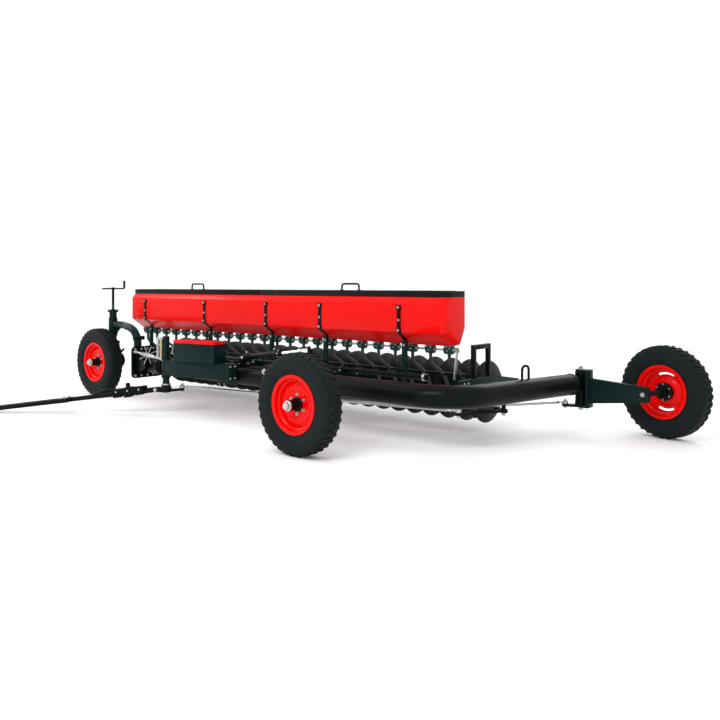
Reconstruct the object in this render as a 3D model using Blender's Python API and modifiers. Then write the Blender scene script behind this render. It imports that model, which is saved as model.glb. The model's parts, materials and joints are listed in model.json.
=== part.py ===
"""Towed one-way disc seed drill on three wheels.

X runs along the hopper, Y from the hitch side to the disc side, Z up from the ground.
Everything is laid out from the middle of the hopper's front face, and the last step moves
the whole machine so that its origin is on the ground under the middle of its box.
"""
import math

import bmesh
import bpy
from mathutils import Matrix, Quaternion, Vector

GAP = 0.0003                      # between pieces that touch
RUNNING_GAP = 0.0006              # a rod in its bore

# hopper
HOPPER_LENGTH = 5.43
HOPPER_X = -0.035                 # middle of the hopper
HOPPER_TOP = 1.43
HOPPER_DEPTH = 0.41               # front face to back face
HOPPER_WALL = 0.005
HOPPER_FLOOR = 0.94
HOPPER_FOLD = 1.067               # where the front face turns inwards
RIM_FACET = 0.045                 # the top of the front face leans in by this
RIM_FACET_HEIGHT = 0.06
FLOOR_FRONT = 0.18
FLOOR_BACK = 0.32
BACK_FOLD = 1.11
CORNER_RADIUS = 0.065
LID_HEIGHT = 0.06
LID_SHEET = 0.004
LID_PARTING = 0.006
HANDLE_WIDTH = 0.25
HANDLE_HEIGHT = 0.085
HANDLE_ROD = 0.011
HANDLE_Y = 0.16

# disc gangs
DISC_PITCH = 0.2286
DISCS_PER_GANG = 6
GANG_COUNT = 4
DISC_RADIUS = 0.33
DISC_DISH = 0.075
DISC_PLATE = 0.006
DISC_LIFT = 0.09                  # discs hang this far above the ground
ROW_X = 0.10                      # middle of the disc row
ROW_Y = 0.85
SPOOL_RADIUS = 0.05
BEARING_RADIUS = 0.062
BEARING_LENGTH = 0.07
HANGER_PLATE = 0.03
HANGER_SHIFT = 0.03               # hangers sit this far off the gang joints, clear of the dish
HANGER_DEPTH = 0.12
HANGER_TOP = 0.62
ROCK_SHAFT_RADIUS = 0.028
ROCK_SHAFT_Y = -0.10
ROCK_SHAFT_LEFT = 0.08            # beyond the second hanger
ROCK_SHAFT_RIGHT = 1.10           # beyond the fourth hanger
GANTRY_FRONT = 0.35               # hoop on the last hanger, seen from the end
GANTRY_BACK = 0.68
GANTRY_FOOT = 0.53
GANTRY_TOP = 0.95
GANTRY_BAR = 0.05
GANTRY_PLATE = 0.012
SCRAPER_BAR = 0.06
SCRAPER_Y = 1.245

# main tube
TUBE_RADIUS = 0.1095
TUBE_Y = -0.42
TUBE_Z = 0.52
TUBE_LEFT = -1.70
BEND_RADIUS = 0.50
BEND_INSET = 0.105                # bend centre inside the right end of the disc row
TAIL_LEAN = math.radians(12.8)    # the tail runs back and a little outwards
PIVOT_Y = 1.40
PIVOT_RADIUS = 0.06
NECK_LENGTH = 0.10                # between the rear pivot and the tube
NECK_WIDTH = 0.10
NECK_HEIGHT = 0.16
TUBE_EYE_Y = 0.55
TUBE_EYE_WIDTH = 0.10
TUBE_EYE_HEIGHT = 0.14
TUBE_EYE_ROD = 0.01
END_PLATE_WIDTH = 0.46
END_PLATE_HEIGHT = 0.41
END_PLATE = 0.02
END_PLATE_Z = 0.55
END_PLATE_CORNER = 0.05

# hopper stand
STAND_Y = 0.10
STAND_RAIL = 0.06
STRAP_WIDTH = 0.06
STRAP_PLATE = 0.008
POST_PLATE = 0.03
STRAP_TOP = 1.345
STRAP_SHIFTS = (0.293, 0.252, 0.05, -0.432, -0.693)   # each from its hanger

# seed metering
METER_X = -0.06                   # middle of the meters
METER_Y = 0.25
METER_WIDTH = 0.10
METER_HEIGHT = 0.09
METER_DEPTH = 0.12
METER_SHAFT = 0.016
METER_SHAFT_PAST = 0.05           # shaft beyond the end meters
SEED_TUBE_RADIUS = 0.02
TUBE_HOLDER = 0.03
TUBE_HOLDER_PAST = 0.06
SEED_TUBE_DROP = 0.10             # straight below the meter
SEED_TUBE_FOOT = 0.20
DISC_TO_TUBE = 0.03

# wheels
WHEEL_RADIUS = 0.47
TYRE_WIDTH = 0.205
RIM_RADIUS = 0.25
RIM_FLANGE = 0.273
RIM_WIDTH = 0.15
RIM_SHEET = 0.008
HUB_RADIUS = 0.06
HUB_OUT = 0.13
HUB_CAP_RADIUS = 0.033
HUB_CAP = 0.045
HUB_IN = 0.09
AXLE_RADIUS = 0.03
WHEEL_SIDES = 28

# front wheel and its jack
FRONT_COLUMN_X = 0.117            # beyond the left end of the disc row
FRONT_COLUMN_Y = -0.215
FRONT_TRACK = 0.215               # column axis to wheel middle
COLUMN_RADIUS = 0.05
COLUMN_FOOT = 0.66
COLUMN_TOP = 1.17
COLLAR_RADIUS = 0.075
COLLAR_HEIGHT = 0.022
SPINDLE_RADIUS = 0.019
SPINDLE_TOP = 1.50
CRANK_LENGTH = 0.34
CRANK_ROD = 0.011
CRANK_GRIP = 0.115
GOOSENECK_RADIUS = 0.05
GOOSENECK_Z = 0.99
GOOSENECK_FLAT = 0.0005           # its flats stand this far inside its radius
SPROCKET_RADIUS = 0.10
SPROCKET_OFFSET = 0.16

# land wheel and its lift
LAND_X = 1.94
LAND_Y = -1.262
LIFT_X = 1.30
LIFT_Z = 0.70
LIFT_SHAFT_RADIUS = 0.04
LIFT_SHAFT_BACK = -0.25
LIFT_PAD_LENGTH = 0.16
CRANK_ARM_PLATE = 0.05
CRANK_ARM_HEIGHT = 0.11
LEVER_PIN = (1.22, 0.86)
LEVER_PLATE = 0.025
LEVER_HEIGHT = 0.07
CLEVIS_PIN = (0.20, 0.72)
BARREL_RADIUS = 0.038
BARREL_LENGTH = 0.60
ROD_RADIUS = 0.0175
ROD_IN_BARREL = 0.06
ROD_TRAVEL = 0.10
EYE_PLATE = 0.02
CHEEK_PLATE = 0.012

# rear wheel, its arm and the steering
REAR_X = 1.474                    # beyond the right end of the disc row
REAR_Y = 1.705
REAR_TOE = math.radians(-14.0)    # rolling direction, turned about Z from +X
REAR_ARM_OFFSET = 0.365           # wheel middle to arm, along the axle
REAR_ARM_PLATE = 0.06
REAR_ARM_HEIGHT = 0.265
REAR_ARM_TIP = 0.15
YOKE_PLATE = 0.028
YOKE_CLEARANCE = 0.02
YOKE_WIDTH = 0.13
YOKE_FOOT = 0.30
YOKE_HEAD = 0.64
STEER_CRANK_PIN = (0.247, 0.60)   # x of the four pins is beyond the right end of the disc row
STEER_FRONT_PIN = (0.017, 0.12)
STEER_REAR_PIN = (0.127, 0.67)
TIE_PIN = (0.567, 1.33)
STEER_PLATE = 0.028
STEER_ROD_RADIUS = 0.019
TIE_ROD_RADIUS = 0.016
STEER_ARM_WIDTH = 0.06

# hitch
POST_X = -0.79
POST_Y = -0.77
POST_RADIUS = 0.04
POST_FOOT = 0.33
POST_TOP = 0.94
BEAM_X = 0.22                     # right end of the hitch beam
BEAM_WIDTH = 0.12
BEAM_BOTTOM = 0.475
BEAM_TOP = 0.66
CLAMP_PLATE = 0.02
CLAMP_LENGTH = 0.34
TOOLBOX_START = 0.22              # from the post, along the beam
TOOLBOX_LENGTH = 0.63
TOOLBOX_WIDTH = 0.20
TOOLBOX_HEIGHT = 0.215
TOOLBOX_SHEET = 0.004
TOOLBOX_LID = 0.03
TOW_HEADING = math.radians(36.0)  # tow bar, turned from -X towards -Y
TOW_PIVOT = 0.12                  # ahead of the post
TOW_PIVOT_Z = 0.30
TOW_LENGTH = 2.20
TOW_FORK_START = 1.10
TOW_WIDTH = 0.06
TOW_HEIGHT = 0.06
TOW_FORK_WIDTH = 0.16
TOW_FORK_BAR = 0.04
TOW_SHANK = 0.035                 # bar behind its pivot
TOW_CHEEK = 0.012
STEER_LEVER = (-0.75, -0.57)
TURNBUCKLE_RADIUS = 0.018
TURNBUCKLE_Y = -0.60
TURNBUCKLE_Z = 0.69
TURNBUCKLE_DROP = 0.04
TURNBUCKLE_GAP = 0.0009           # at the post, whose face is round

ROW_LENGTH = DISC_PITCH * DISCS_PER_GANG * GANG_COUNT
ROW_END = ROW_LENGTH / 2
AXLE_Z = DISC_LIFT + DISC_RADIUS
HANGER_FOOT = HANGER_TOP - HANGER_DEPTH
RAIL_TOP = HANGER_FOOT - GAP
RAIL_FOOT = RAIL_TOP - STAND_RAIL
TUBE_FRONT = TUBE_Y - TUBE_RADIUS
COLUMN_X = -(ROW_END + FRONT_COLUMN_X)
BEND_X = ROW_END - BEND_INSET
BEND_Y = TUBE_Y + BEND_RADIUS
ROD_Z = YOKE_FOOT + GAP           # steering rods lie on their plates

RED = ("seed_red", (0.62, 0.012, 0.008), 0.32, 0.0)
BLACK = ("frame_black", (0.012, 0.016, 0.016), 0.4, 0.0)
GREEN = ("frame_green", (0.012, 0.05, 0.045), 0.42, 0.0)
DISC = ("disc_black", (0.014, 0.015, 0.017), 0.38, 0.3)
RUBBER = ("tyre_rubber", (0.022, 0.022, 0.024), 0.85, 0.0)
ZINC = ("zinc_plate", (0.55, 0.55, 0.52), 0.35, 0.9)
CHROME = ("rod_chrome", (0.75, 0.76, 0.78), 0.12, 1.0)
PLASTIC = ("hose_black", (0.02, 0.02, 0.02), 0.55, 0.0)


def clear_scene():
    for old in list(bpy.data.objects):
        bpy.data.objects.remove(old, do_unlink=True)


def new_collection(name):
    group = bpy.data.collections.new(name)
    bpy.context.scene.collection.children.link(group)
    return group


def finish_material(obj, finish):
    name, colour, roughness, metallic = finish
    material = bpy.data.materials.new(f"{obj.name}_{name}")
    material.use_nodes = True
    shader = material.node_tree.nodes["Principled BSDF"]
    shader.inputs["Base Color"].default_value = (*colour, 1.0)
    shader.inputs["Roughness"].default_value = roughness
    shader.inputs["Metallic"].default_value = metallic
    obj.data.materials.append(material)


def add_object(name, data, finish):
    obj = bpy.data.objects.new(name, data)
    MACHINE.objects.link(obj)
    finish_material(obj, finish)
    return obj


def object_from_bmesh(name, bm, finish):
    mesh = bpy.data.meshes.new(name)
    bmesh.ops.recalc_face_normals(bm, faces=bm.faces)
    bm.to_mesh(mesh)
    bm.free()
    return add_object(name, mesh, finish)


def aim(direction):
    """Rotation that turns local Z along a direction, with local Y as near up as it can be."""
    return Vector(direction).normalized().to_track_quat("Z", "Y")


def box(name, low, high, finish):
    bm = bmesh.new()
    bmesh.ops.create_cube(bm, size=1.0)
    low = Vector(low)
    size = Vector(high) - low
    bmesh.ops.scale(bm, vec=size, verts=bm.verts)
    bmesh.ops.translate(bm, vec=low + size / 2, verts=bm.verts)
    return object_from_bmesh(name, bm, finish)


def beam(name, start, end, width, height, finish, end_height=None):
    """Flat-sided bar between two points; width is level, height is the other way."""
    start = Vector(start)
    run = Vector(end) - start
    bm = bmesh.new()
    bmesh.ops.create_cube(bm, size=1.0)
    for vert in bm.verts:
        tall = height if vert.co.z < 0 or end_height is None else end_height
        vert.co = Vector((vert.co.x * width, vert.co.y * tall, (vert.co.z + 0.5) * run.length))
    obj = object_from_bmesh(name, bm, finish)
    obj.rotation_mode = "QUATERNION"
    obj.rotation_quaternion = aim(run)
    obj.location = start
    return obj


def rod(name, start, end, radius, finish, sides=16):
    start = Vector(start)
    run = Vector(end) - start
    bm = bmesh.new()
    bmesh.ops.create_cone(
        bm, cap_ends=True, segments=sides, radius1=radius, radius2=radius, depth=run.length)
    bmesh.ops.translate(bm, vec=(0, 0, run.length / 2), verts=bm.verts)
    obj = object_from_bmesh(name, bm, finish)
    obj.rotation_mode = "QUATERNION"
    obj.rotation_quaternion = aim(run)
    obj.location = start
    smooth(obj)
    return obj


def smooth(obj):
    obj.data.shade_smooth()
    obj.data.set_sharp_from_angle(angle=math.radians(35))


def turned(name, profile, centre, direction, finish, sides, ring=False, half_step=False):
    """Turned piece: profile of (radius, along) runs down the outer side, top to bottom."""
    mesh = bpy.data.meshes.new(name)
    points = [(radius, 0.0, along) for radius, along in profile]
    edges = [(i, i + 1) for i in range(len(points) - 1)]
    if ring:
        edges.append((len(points) - 1, 0))
    mesh.from_pydata(points, edges, [])
    obj = add_object(name, mesh, finish)
    screw = obj.modifiers.new("turn", "SCREW")
    screw.axis = "Z"
    screw.steps = sides
    screw.render_steps = sides
    screw.use_merge_vertices = True
    screw.merge_threshold = 0.0001
    screw.use_smooth_shade = True
    obj.rotation_mode = "QUATERNION"
    half = math.pi / sides if half_step else 0.0
    obj.rotation_quaternion = aim(direction) @ Quaternion((0, 0, 1), half)
    obj.location = centre
    return obj


def bent_tube(name, points, radius, finish, resolution=2):
    curve = bpy.data.curves.new(name, "CURVE")
    curve.dimensions = "3D"
    curve.bevel_depth = radius
    curve.bevel_resolution = resolution
    curve.use_fill_caps = True
    spline = curve.splines.new("POLY")
    spline.points.add(len(points) - 1)
    for target, point in zip(spline.points, points):
        target.co = (*point, 1.0)
    return add_object(name, curve, finish)


def plate(name, outline, thickness, place, facing, finish):
    """Flat plate; facing "X" reads the outline as (y, z), facing "Z" as (x, y)."""
    curve = bpy.data.curves.new(name, "CURVE")
    curve.dimensions = "2D"
    curve.fill_mode = "BOTH"
    curve.extrude = thickness / 2
    spline = curve.splines.new("POLY")
    spline.points.add(len(outline) - 1)
    for target, (u, v) in zip(spline.points, outline):
        target.co = (u, v, 0.0, 1.0)
    spline.use_cyclic_u = True
    obj = add_object(name, curve, finish)
    quarter = math.pi / 2
    if facing == "X":
        obj.rotation_euler = (quarter, 0.0, quarter)
        obj.location = (place, 0.0, 0.0)
    else:
        obj.location = (0.0, 0.0, place)
    return obj


def as_mesh(curve_object):
    """Replace a curve object by a welded mesh object at the same place."""
    bpy.context.view_layer.update()
    graph = bpy.context.evaluated_depsgraph_get()
    mesh = bpy.data.meshes.new_from_object(curve_object.evaluated_get(graph))
    bm = bmesh.new()
    bm.from_mesh(mesh)
    bmesh.ops.remove_doubles(bm, verts=bm.verts, dist=0.00001)
    bmesh.ops.recalc_face_normals(bm, faces=bm.faces)
    bm.to_mesh(mesh)
    bm.free()
    name = curve_object.name
    place = curve_object.matrix_world.copy()
    bpy.data.objects.remove(curve_object, do_unlink=True)
    obj = bpy.data.objects.new(name, mesh)
    MACHINE.objects.link(obj)
    obj.matrix_world = place
    return obj


def combine(target, operation, *others):
    """Join others to the target, or cut them out of it."""
    for other in others:
        modifier = target.modifiers.new(other.name, "BOOLEAN")
        modifier.operation = operation
        modifier.solver = "EXACT"
        modifier.object = other
        MACHINE.objects.unlink(other)
        CUTTERS.objects.link(other)
        other.hide_render = True
        other.display_type = "WIRE"
    return target


def pivot(name, place):
    empty = bpy.data.objects.new(name, None)
    empty.location = place
    MACHINE.objects.link(empty)
    bpy.context.view_layer.update()
    return empty


def hang_on(parent, *children):
    bpy.context.view_layer.update()
    for child in children:
        child.parent = parent
        child.matrix_parent_inverse = parent.matrix_world.inverted()


def hopper_section():
    return [
        (RIM_FACET, HOPPER_TOP),
        (0.0, HOPPER_TOP - RIM_FACET_HEIGHT),
        (0.0, HOPPER_FOLD),
        (FLOOR_FRONT, HOPPER_FLOOR),
        (FLOOR_BACK, HOPPER_FLOOR),
        (HOPPER_DEPTH, BACK_FOLD),
        (HOPPER_DEPTH, HOPPER_TOP),
    ]


def sheet_metal(name, bm, thickness, finish):
    obj = object_from_bmesh(name, bm, finish)
    solid = obj.modifiers.new("sheet", "SOLIDIFY")
    solid.thickness = thickness
    solid.offset = -1.0
    solid.use_even_offset = True
    return obj


def open_shell(bm, missing_face_height):
    """Remove the faces that lie flat at one height."""
    level = [
        face for face in bm.faces
        if all(abs(vert.co.z - missing_face_height) < 1e-6 for vert in face.verts)]
    bmesh.ops.delete(bm, geom=level, context="FACES")


def make_hopper():
    bm = bmesh.new()
    left = HOPPER_X - HOPPER_LENGTH / 2
    section = [bm.verts.new((left, y, z)) for y, z in hopper_section()]
    face = bm.faces.new(section)
    grown = bmesh.ops.extrude_face_region(bm, geom=[face])
    moved = [item for item in grown["geom"] if isinstance(item, bmesh.types.BMVert)]
    bmesh.ops.translate(bm, vec=(HOPPER_LENGTH, 0, 0), verts=moved)
    bmesh.ops.recalc_face_normals(bm, faces=bm.faces)
    open_shell(bm, HOPPER_TOP)
    corners = [
        edge for edge in bm.edges
        if not edge.is_boundary and abs(edge.verts[0].co.x - edge.verts[1].co.x) < 1e-6]
    bmesh.ops.bevel(
        bm, geom=corners, offset=CORNER_RADIUS, segments=3, profile=0.5, affect="EDGES")
    return sheet_metal("hopper", bm, HOPPER_WALL, RED)


def make_lid(name, side):
    inner = LID_PARTING / 2
    outer = HOPPER_LENGTH / 2
    low_x, high_x = sorted((HOPPER_X + side * inner, HOPPER_X + side * outer))
    bm = bmesh.new()
    bmesh.ops.create_cube(bm, size=1.0)
    size = Vector((high_x - low_x, HOPPER_DEPTH - RIM_FACET, LID_HEIGHT))
    middle = Vector((
        (low_x + high_x) / 2,
        (RIM_FACET + HOPPER_DEPTH) / 2,
        HOPPER_TOP + GAP + LID_HEIGHT / 2))
    bmesh.ops.scale(bm, vec=size, verts=bm.verts)
    bmesh.ops.translate(bm, vec=middle, verts=bm.verts)
    open_shell(bm, HOPPER_TOP + GAP)
    end_x = HOPPER_X + side * outer
    corners = [
        edge for edge in bm.edges
        if all(abs(vert.co.x - end_x) < 1e-6 for vert in edge.verts)
        and abs(edge.verts[0].co.z - edge.verts[1].co.z) > 0.5 * LID_HEIGHT]
    bmesh.ops.bevel(
        bm, geom=corners, offset=CORNER_RADIUS, segments=3, profile=0.5, affect="EDGES")
    lid = sheet_metal(name, bm, LID_SHEET, BLACK)
    middle_x = (low_x + high_x) / 2
    foot = HOPPER_TOP + LID_HEIGHT + 2 * GAP
    head = foot + HANDLE_HEIGHT - HANDLE_ROD
    reach = HANDLE_WIDTH / 2
    handle = bent_tube(
        name.replace("lid", "lid_handle"),
        [(middle_x - reach, HANDLE_Y, foot), (middle_x - reach, HANDLE_Y, head - 0.02),
         (middle_x - reach + 0.02, HANDLE_Y, head), (middle_x + reach - 0.02, HANDLE_Y, head),
         (middle_x + reach, HANDLE_Y, head - 0.02), (middle_x + reach, HANDLE_Y, foot)],
        HANDLE_ROD, BLACK)
    hinge = pivot(f"{name}_hinge", (middle_x, HOPPER_DEPTH, HOPPER_TOP))
    hang_on(hinge, lid, handle)


def make_stand():
    """Rail under the hangers, with a post and a bent strap up the hopper at each place."""
    rail_right = tail_inner_x(STAND_Y - STAND_RAIL / 2, RAIL_TOP) - GAP
    rail = box(
        "hopper_stand",
        (-(ROW_END + HANGER_SHIFT + BEARING_LENGTH / 2), STAND_Y - STAND_RAIL / 2, RAIL_FOOT),
        (rail_right, STAND_Y + STAND_RAIL / 2, RAIL_TOP), GREEN)
    drop = (HOPPER_FOLD - HOPPER_FLOOR) / FLOOR_FRONT
    front = STAND_Y - POST_PLATE / 2
    back = STAND_Y + POST_PLATE / 2
    lean = math.hypot(1.0, drop)
    slope_gap = GAP * lean
    strap_gap = (STRAP_PLATE + GAP) * lean
    foot = RAIL_TOP - 0.01
    outline = [
        (-GAP, STRAP_TOP),
        (-STRAP_PLATE - GAP, STRAP_TOP),
        (-STRAP_PLATE - GAP, HOPPER_FOLD - strap_gap + drop * (STRAP_PLATE + GAP)),
        (front, HOPPER_FOLD - drop * front - strap_gap),
        (front, foot),
        (back, foot),
        (back, HOPPER_FOLD - drop * back - slope_gap),
        (-GAP, HOPPER_FOLD - slope_gap + drop * GAP),
    ]
    for index, (hanger, shift) in enumerate(zip(hanger_places(), STRAP_SHIFTS)):
        place = hanger + shift
        strap = as_mesh(plate(f"strap_{index + 1}", outline, STRAP_WIDTH, place, "X", GREEN))
        combine(rail, "UNION", strap)
    return rail


def spaced_about(middle):
    """Places of the discs, or of what belongs to each, about the middle of their row."""
    first = middle - ROW_END + DISC_PITCH / 2
    return [first + DISC_PITCH * index for index in range(DISCS_PER_GANG * GANG_COUNT)]


def hanger_places():
    span = DISC_PITCH * DISCS_PER_GANG
    return [ROW_X - ROW_END + span * index - HANGER_SHIFT for index in range(GANG_COUNT + 1)]


def make_metering():
    places = spaced_about(METER_X)
    top = HOPPER_FLOOR - GAP
    foot = top - METER_HEIGHT
    axle_z = foot + METER_HEIGHT / 2
    past = METER_WIDTH / 2 + METER_SHAFT_PAST
    shaft = rod(
        "metering_row", (places[0] - past, METER_Y, axle_z), (places[-1] + past, METER_Y, axle_z),
        METER_SHAFT, GREEN, sides=8)
    for index, place in enumerate(places):
        housing = box(
            f"meter_{index + 1}",
            (place - METER_WIDTH / 2, METER_Y - METER_DEPTH / 2, foot),
            (place + METER_WIDTH / 2, METER_Y + METER_DEPTH / 2, top), GREEN)
        combine(shaft, "UNION", housing)
    return shaft


def make_seed_tubes():
    """A hose from each meter to its disc, all held by one bar that lies on the hangers."""
    top = HOPPER_FLOOR - GAP - METER_HEIGHT - GAP
    foot_y = ROW_Y - DISC_RADIUS - DISC_TO_TUBE
    holder_y = (METER_Y + foot_y) / 2
    holder_z = HANGER_TOP + GAP + TUBE_HOLDER / 2
    meters = spaced_about(METER_X)
    discs = spaced_about(ROW_X)
    middles = spaced_about((METER_X + ROW_X) / 2)
    past = TUBE_HOLDER_PAST
    holder = box(
        "seed_tube_row",
        (middles[0] - past, holder_y - TUBE_HOLDER / 2, holder_z - TUBE_HOLDER / 2),
        (middles[-1] + past, holder_y + TUBE_HOLDER / 2, holder_z + TUBE_HOLDER / 2), PLASTIC)
    for index, (meter, middle, disc) in enumerate(zip(meters, middles, discs)):
        hose = bent_tube(
            f"seed_tube_{index + 1}",
            [(meter, METER_Y, top), (meter, METER_Y, top - SEED_TUBE_DROP),
             (middle, holder_y, holder_z), (disc, foot_y, SEED_TUBE_FOOT)],
            SEED_TUBE_RADIUS, PLASTIC, resolution=1)
        combine(holder, "UNION", as_mesh(hose))
    return holder


def make_hangers():
    rear = SCRAPER_Y - SCRAPER_BAR / 2 - GAP
    below = AXLE_Z - BEARING_RADIUS
    tube_back = TUBE_Y + TUBE_RADIUS + GAP
    for index, place in enumerate(hanger_places()):
        at_end = index in (0, GANG_COUNT)
        front = STAND_Y - STAND_RAIL if at_end else tube_back
        outline = [
            (front, HANGER_TOP),
            (ROW_Y - 0.15, HANGER_TOP),
            (rear, AXLE_Z + 0.12),
            (rear, AXLE_Z + 0.02),
            (ROW_Y + 0.08, below),
            (ROW_Y - 0.08, below),
            (ROW_Y - 0.38, HANGER_FOOT),
            (front, HANGER_FOOT),
        ]
        name = f"hanger_{index + 1}"
        arm = as_mesh(plate(name, outline, HANGER_PLATE, place, "X", GREEN))
        finish_material(arm, GREEN)
        boss = rod(
            f"bearing_{index + 1}",
            (place - BEARING_LENGTH / 2, ROW_Y, AXLE_Z),
            (place + BEARING_LENGTH / 2, ROW_Y, AXLE_Z), BEARING_RADIUS, BLACK)
        combine(arm, "UNION", boss)


def make_gangs():
    places = spaced_about(ROW_X)
    hangers = hanger_places()
    for gang in range(GANG_COUNT):
        low = hangers[gang] + BEARING_LENGTH / 2 + GAP
        high = hangers[gang + 1] - BEARING_LENGTH / 2 - GAP
        first = gang * DISCS_PER_GANG
        discs = places[first:first + DISCS_PER_GANG]
        profile = [(0.0, high), (SPOOL_RADIUS, high)]
        for place in reversed(discs):
            profile += [
                (SPOOL_RADIUS, place + DISC_PLATE),
                (DISC_RADIUS, place - DISC_DISH + DISC_PLATE),
                (DISC_RADIUS, place - DISC_DISH),
                (SPOOL_RADIUS, place),
            ]
        profile += [(SPOOL_RADIUS, low), (0.0, low)]
        turned(
            f"disc_gang_{gang + 1}", profile, (0.0, ROW_Y, AXLE_Z), (1, 0, 0), DISC, sides=16)


def make_scraper_bar():
    hangers = hanger_places()
    half = SCRAPER_BAR / 2
    return box(
        "scraper_bar",
        (hangers[0] - half, SCRAPER_Y - half, AXLE_Z + 0.04),
        (hangers[-1] + half, SCRAPER_Y + half, AXLE_Z + 0.04 + SCRAPER_BAR), BLACK)


def make_rock_shaft():
    z = HANGER_TOP + GAP + ROCK_SHAFT_RADIUS
    hangers = hanger_places()
    return rod(
        "rock_shaft", (hangers[1] - ROCK_SHAFT_LEFT, ROCK_SHAFT_Y, z),
        (hangers[3] + ROCK_SHAFT_RIGHT, ROCK_SHAFT_Y, z), ROCK_SHAFT_RADIUS, BLACK)


def make_gantry():
    """Flat bar bent into a hoop, bolted to the inner side of the last hanger."""
    front, back = GANTRY_FRONT, GANTRY_BACK
    foot, top = GANTRY_FOOT, GANTRY_TOP
    bar = GANTRY_BAR
    outline = [
        (front, foot), (front, top - bar), (front + bar, top), (back - bar, top),
        (back, top - bar), (back, foot), (back - bar, foot), (back - bar, top - 1.4 * bar),
        (back - 1.4 * bar, top - bar), (front + 1.4 * bar, top - bar),
        (front + bar, top - 1.4 * bar), (front + bar, foot)]
    place = hanger_places()[-1] - HANGER_PLATE / 2 - GAP - GANTRY_PLATE / 2
    plate("end_gantry", outline, GANTRY_PLATE, place, "X", GREEN)


def tail_x(y):
    """Centre line of the straight tail of the main tube."""
    normal = Vector((math.cos(TAIL_LEAN), -math.sin(TAIL_LEAN)))
    start = Vector((BEND_X, BEND_Y)) + normal * BEND_RADIUS
    return start.x + (y - start.y) * math.tan(TAIL_LEAN)


def tail_inner_x(y, z):
    """Where the inner side of the tail lies at a height."""
    half = math.sqrt(TUBE_RADIUS ** 2 - (z - TUBE_Z) ** 2)
    return tail_x(y) - half / math.cos(TAIL_LEAN)


def past_row(place):
    """A place in plan whose x is measured from the right end of the disc row."""
    return Vector((ROW_END + place[0], place[1]))


def pivot_centre():
    return Vector((tail_x(PIVOT_Y), PIVOT_Y))


def make_main_tube():
    points = [(TUBE_LEFT + GAP, TUBE_Y, TUBE_Z), (BEND_X, TUBE_Y, TUBE_Z)]
    steps = 7
    sweep = math.pi / 2 - TAIL_LEAN
    for index in range(1, steps + 1):
        angle = sweep * index / steps
        points.append((
            BEND_X + BEND_RADIUS * math.sin(angle), BEND_Y - BEND_RADIUS * math.cos(angle), TUBE_Z))
    back_off = PIVOT_RADIUS + NECK_LENGTH + GAP
    end = pivot_centre() - Vector((math.sin(TAIL_LEAN), math.cos(TAIL_LEAN))) * back_off
    points.append((end.x, end.y, TUBE_Z))
    bent_tube("main_tube", points, TUBE_RADIUS, BLACK, resolution=4)
    half = END_PLATE_HEIGHT / 2
    left = box(
        "left_end_plate",
        (TUBE_LEFT - END_PLATE, TUBE_Y - END_PLATE_WIDTH / 2, END_PLATE_Z - half),
        (TUBE_LEFT, TUBE_Y + END_PLATE_WIDTH / 2, END_PLATE_Z + half), BLACK)
    round_corners(left, END_PLATE_CORNER, "x")
    reach = TUBE_EYE_WIDTH / 2
    low = TUBE_Z + TUBE_RADIUS + GAP
    top = low + TUBE_EYE_HEIGHT - TUBE_EYE_ROD
    bend = 2 * TUBE_EYE_ROD
    eye = [(-reach, low), (-reach, top - bend), (bend - reach, top), (reach - bend, top),
           (reach, top - bend), (reach, low)]
    bent_tube(
        "tube_eye",
        [(tail_x(TUBE_EYE_Y + along), TUBE_EYE_Y + along, z) for along, z in eye],
        TUBE_EYE_ROD, BLACK)


def round_corners(obj, radius, axis):
    """Round the four edges of a box that run along one axis."""
    bm = bmesh.new()
    bm.from_mesh(obj.data)
    letter = "xyz".index(axis)
    edges = [
        edge for edge in bm.edges
        if abs((edge.verts[0].co - edge.verts[1].co).normalized()[letter]) > 0.9]
    bmesh.ops.bevel(bm, geom=edges, offset=radius, segments=3, profile=0.5, affect="EDGES")
    bm.to_mesh(obj.data)
    bm.free()


def make_wheel(prefix, centre, outward):
    """Tyre and rim on one spindle; outward is the hub cap's side."""
    half = TYRE_WIDTH / 2
    seat = RIM_WIDTH / 2
    grow = 1 / math.cos(math.pi / WHEEL_SIDES)
    crown = WHEEL_RADIUS * grow
    side = [
        (RIM_FLANGE + 0.002, seat - GAP), (0.30, half * 0.9), (0.36, half),
        (0.42, half * 0.95), (crown - 0.012, half * 0.68), (crown, half * 0.3)]
    tread = [(r, w) for r, w in side] + [(r, -w) for r, w in reversed(side)]
    bore = RIM_RADIUS + GAP
    profile = [(bore, seat - GAP)] + tread + [(bore, -seat + GAP)]
    tyre = turned(
        f"{prefix}_tyre", profile, centre, outward, RUBBER, WHEEL_SIDES, ring=True, half_step=True)
    inside = RIM_RADIUS - RIM_SHEET
    lip = seat + RIM_SHEET
    web = 0.02
    rim_profile = [
        (0.0, HUB_OUT + HUB_CAP), (HUB_CAP_RADIUS, HUB_OUT + HUB_CAP), (HUB_CAP_RADIUS, HUB_OUT),
        (HUB_RADIUS, HUB_OUT), (HUB_RADIUS, web), (inside, web), (inside, lip), (RIM_FLANGE, lip),
        (RIM_FLANGE, seat), (RIM_RADIUS, seat), (RIM_RADIUS, -seat), (RIM_FLANGE, -seat),
        (RIM_FLANGE, -lip), (inside, -lip), (inside, web - RIM_SHEET), (HUB_RADIUS, web - RIM_SHEET),
        (HUB_RADIUS, -HUB_IN), (0.0, -HUB_IN)]
    rim = turned(
        f"{prefix}_rim", rim_profile, centre, outward, RED, WHEEL_SIDES, half_step=True)
    spindle = pivot(f"{prefix}_spindle", centre)
    hang_on(spindle, tyre, rim)
    return spindle


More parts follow.
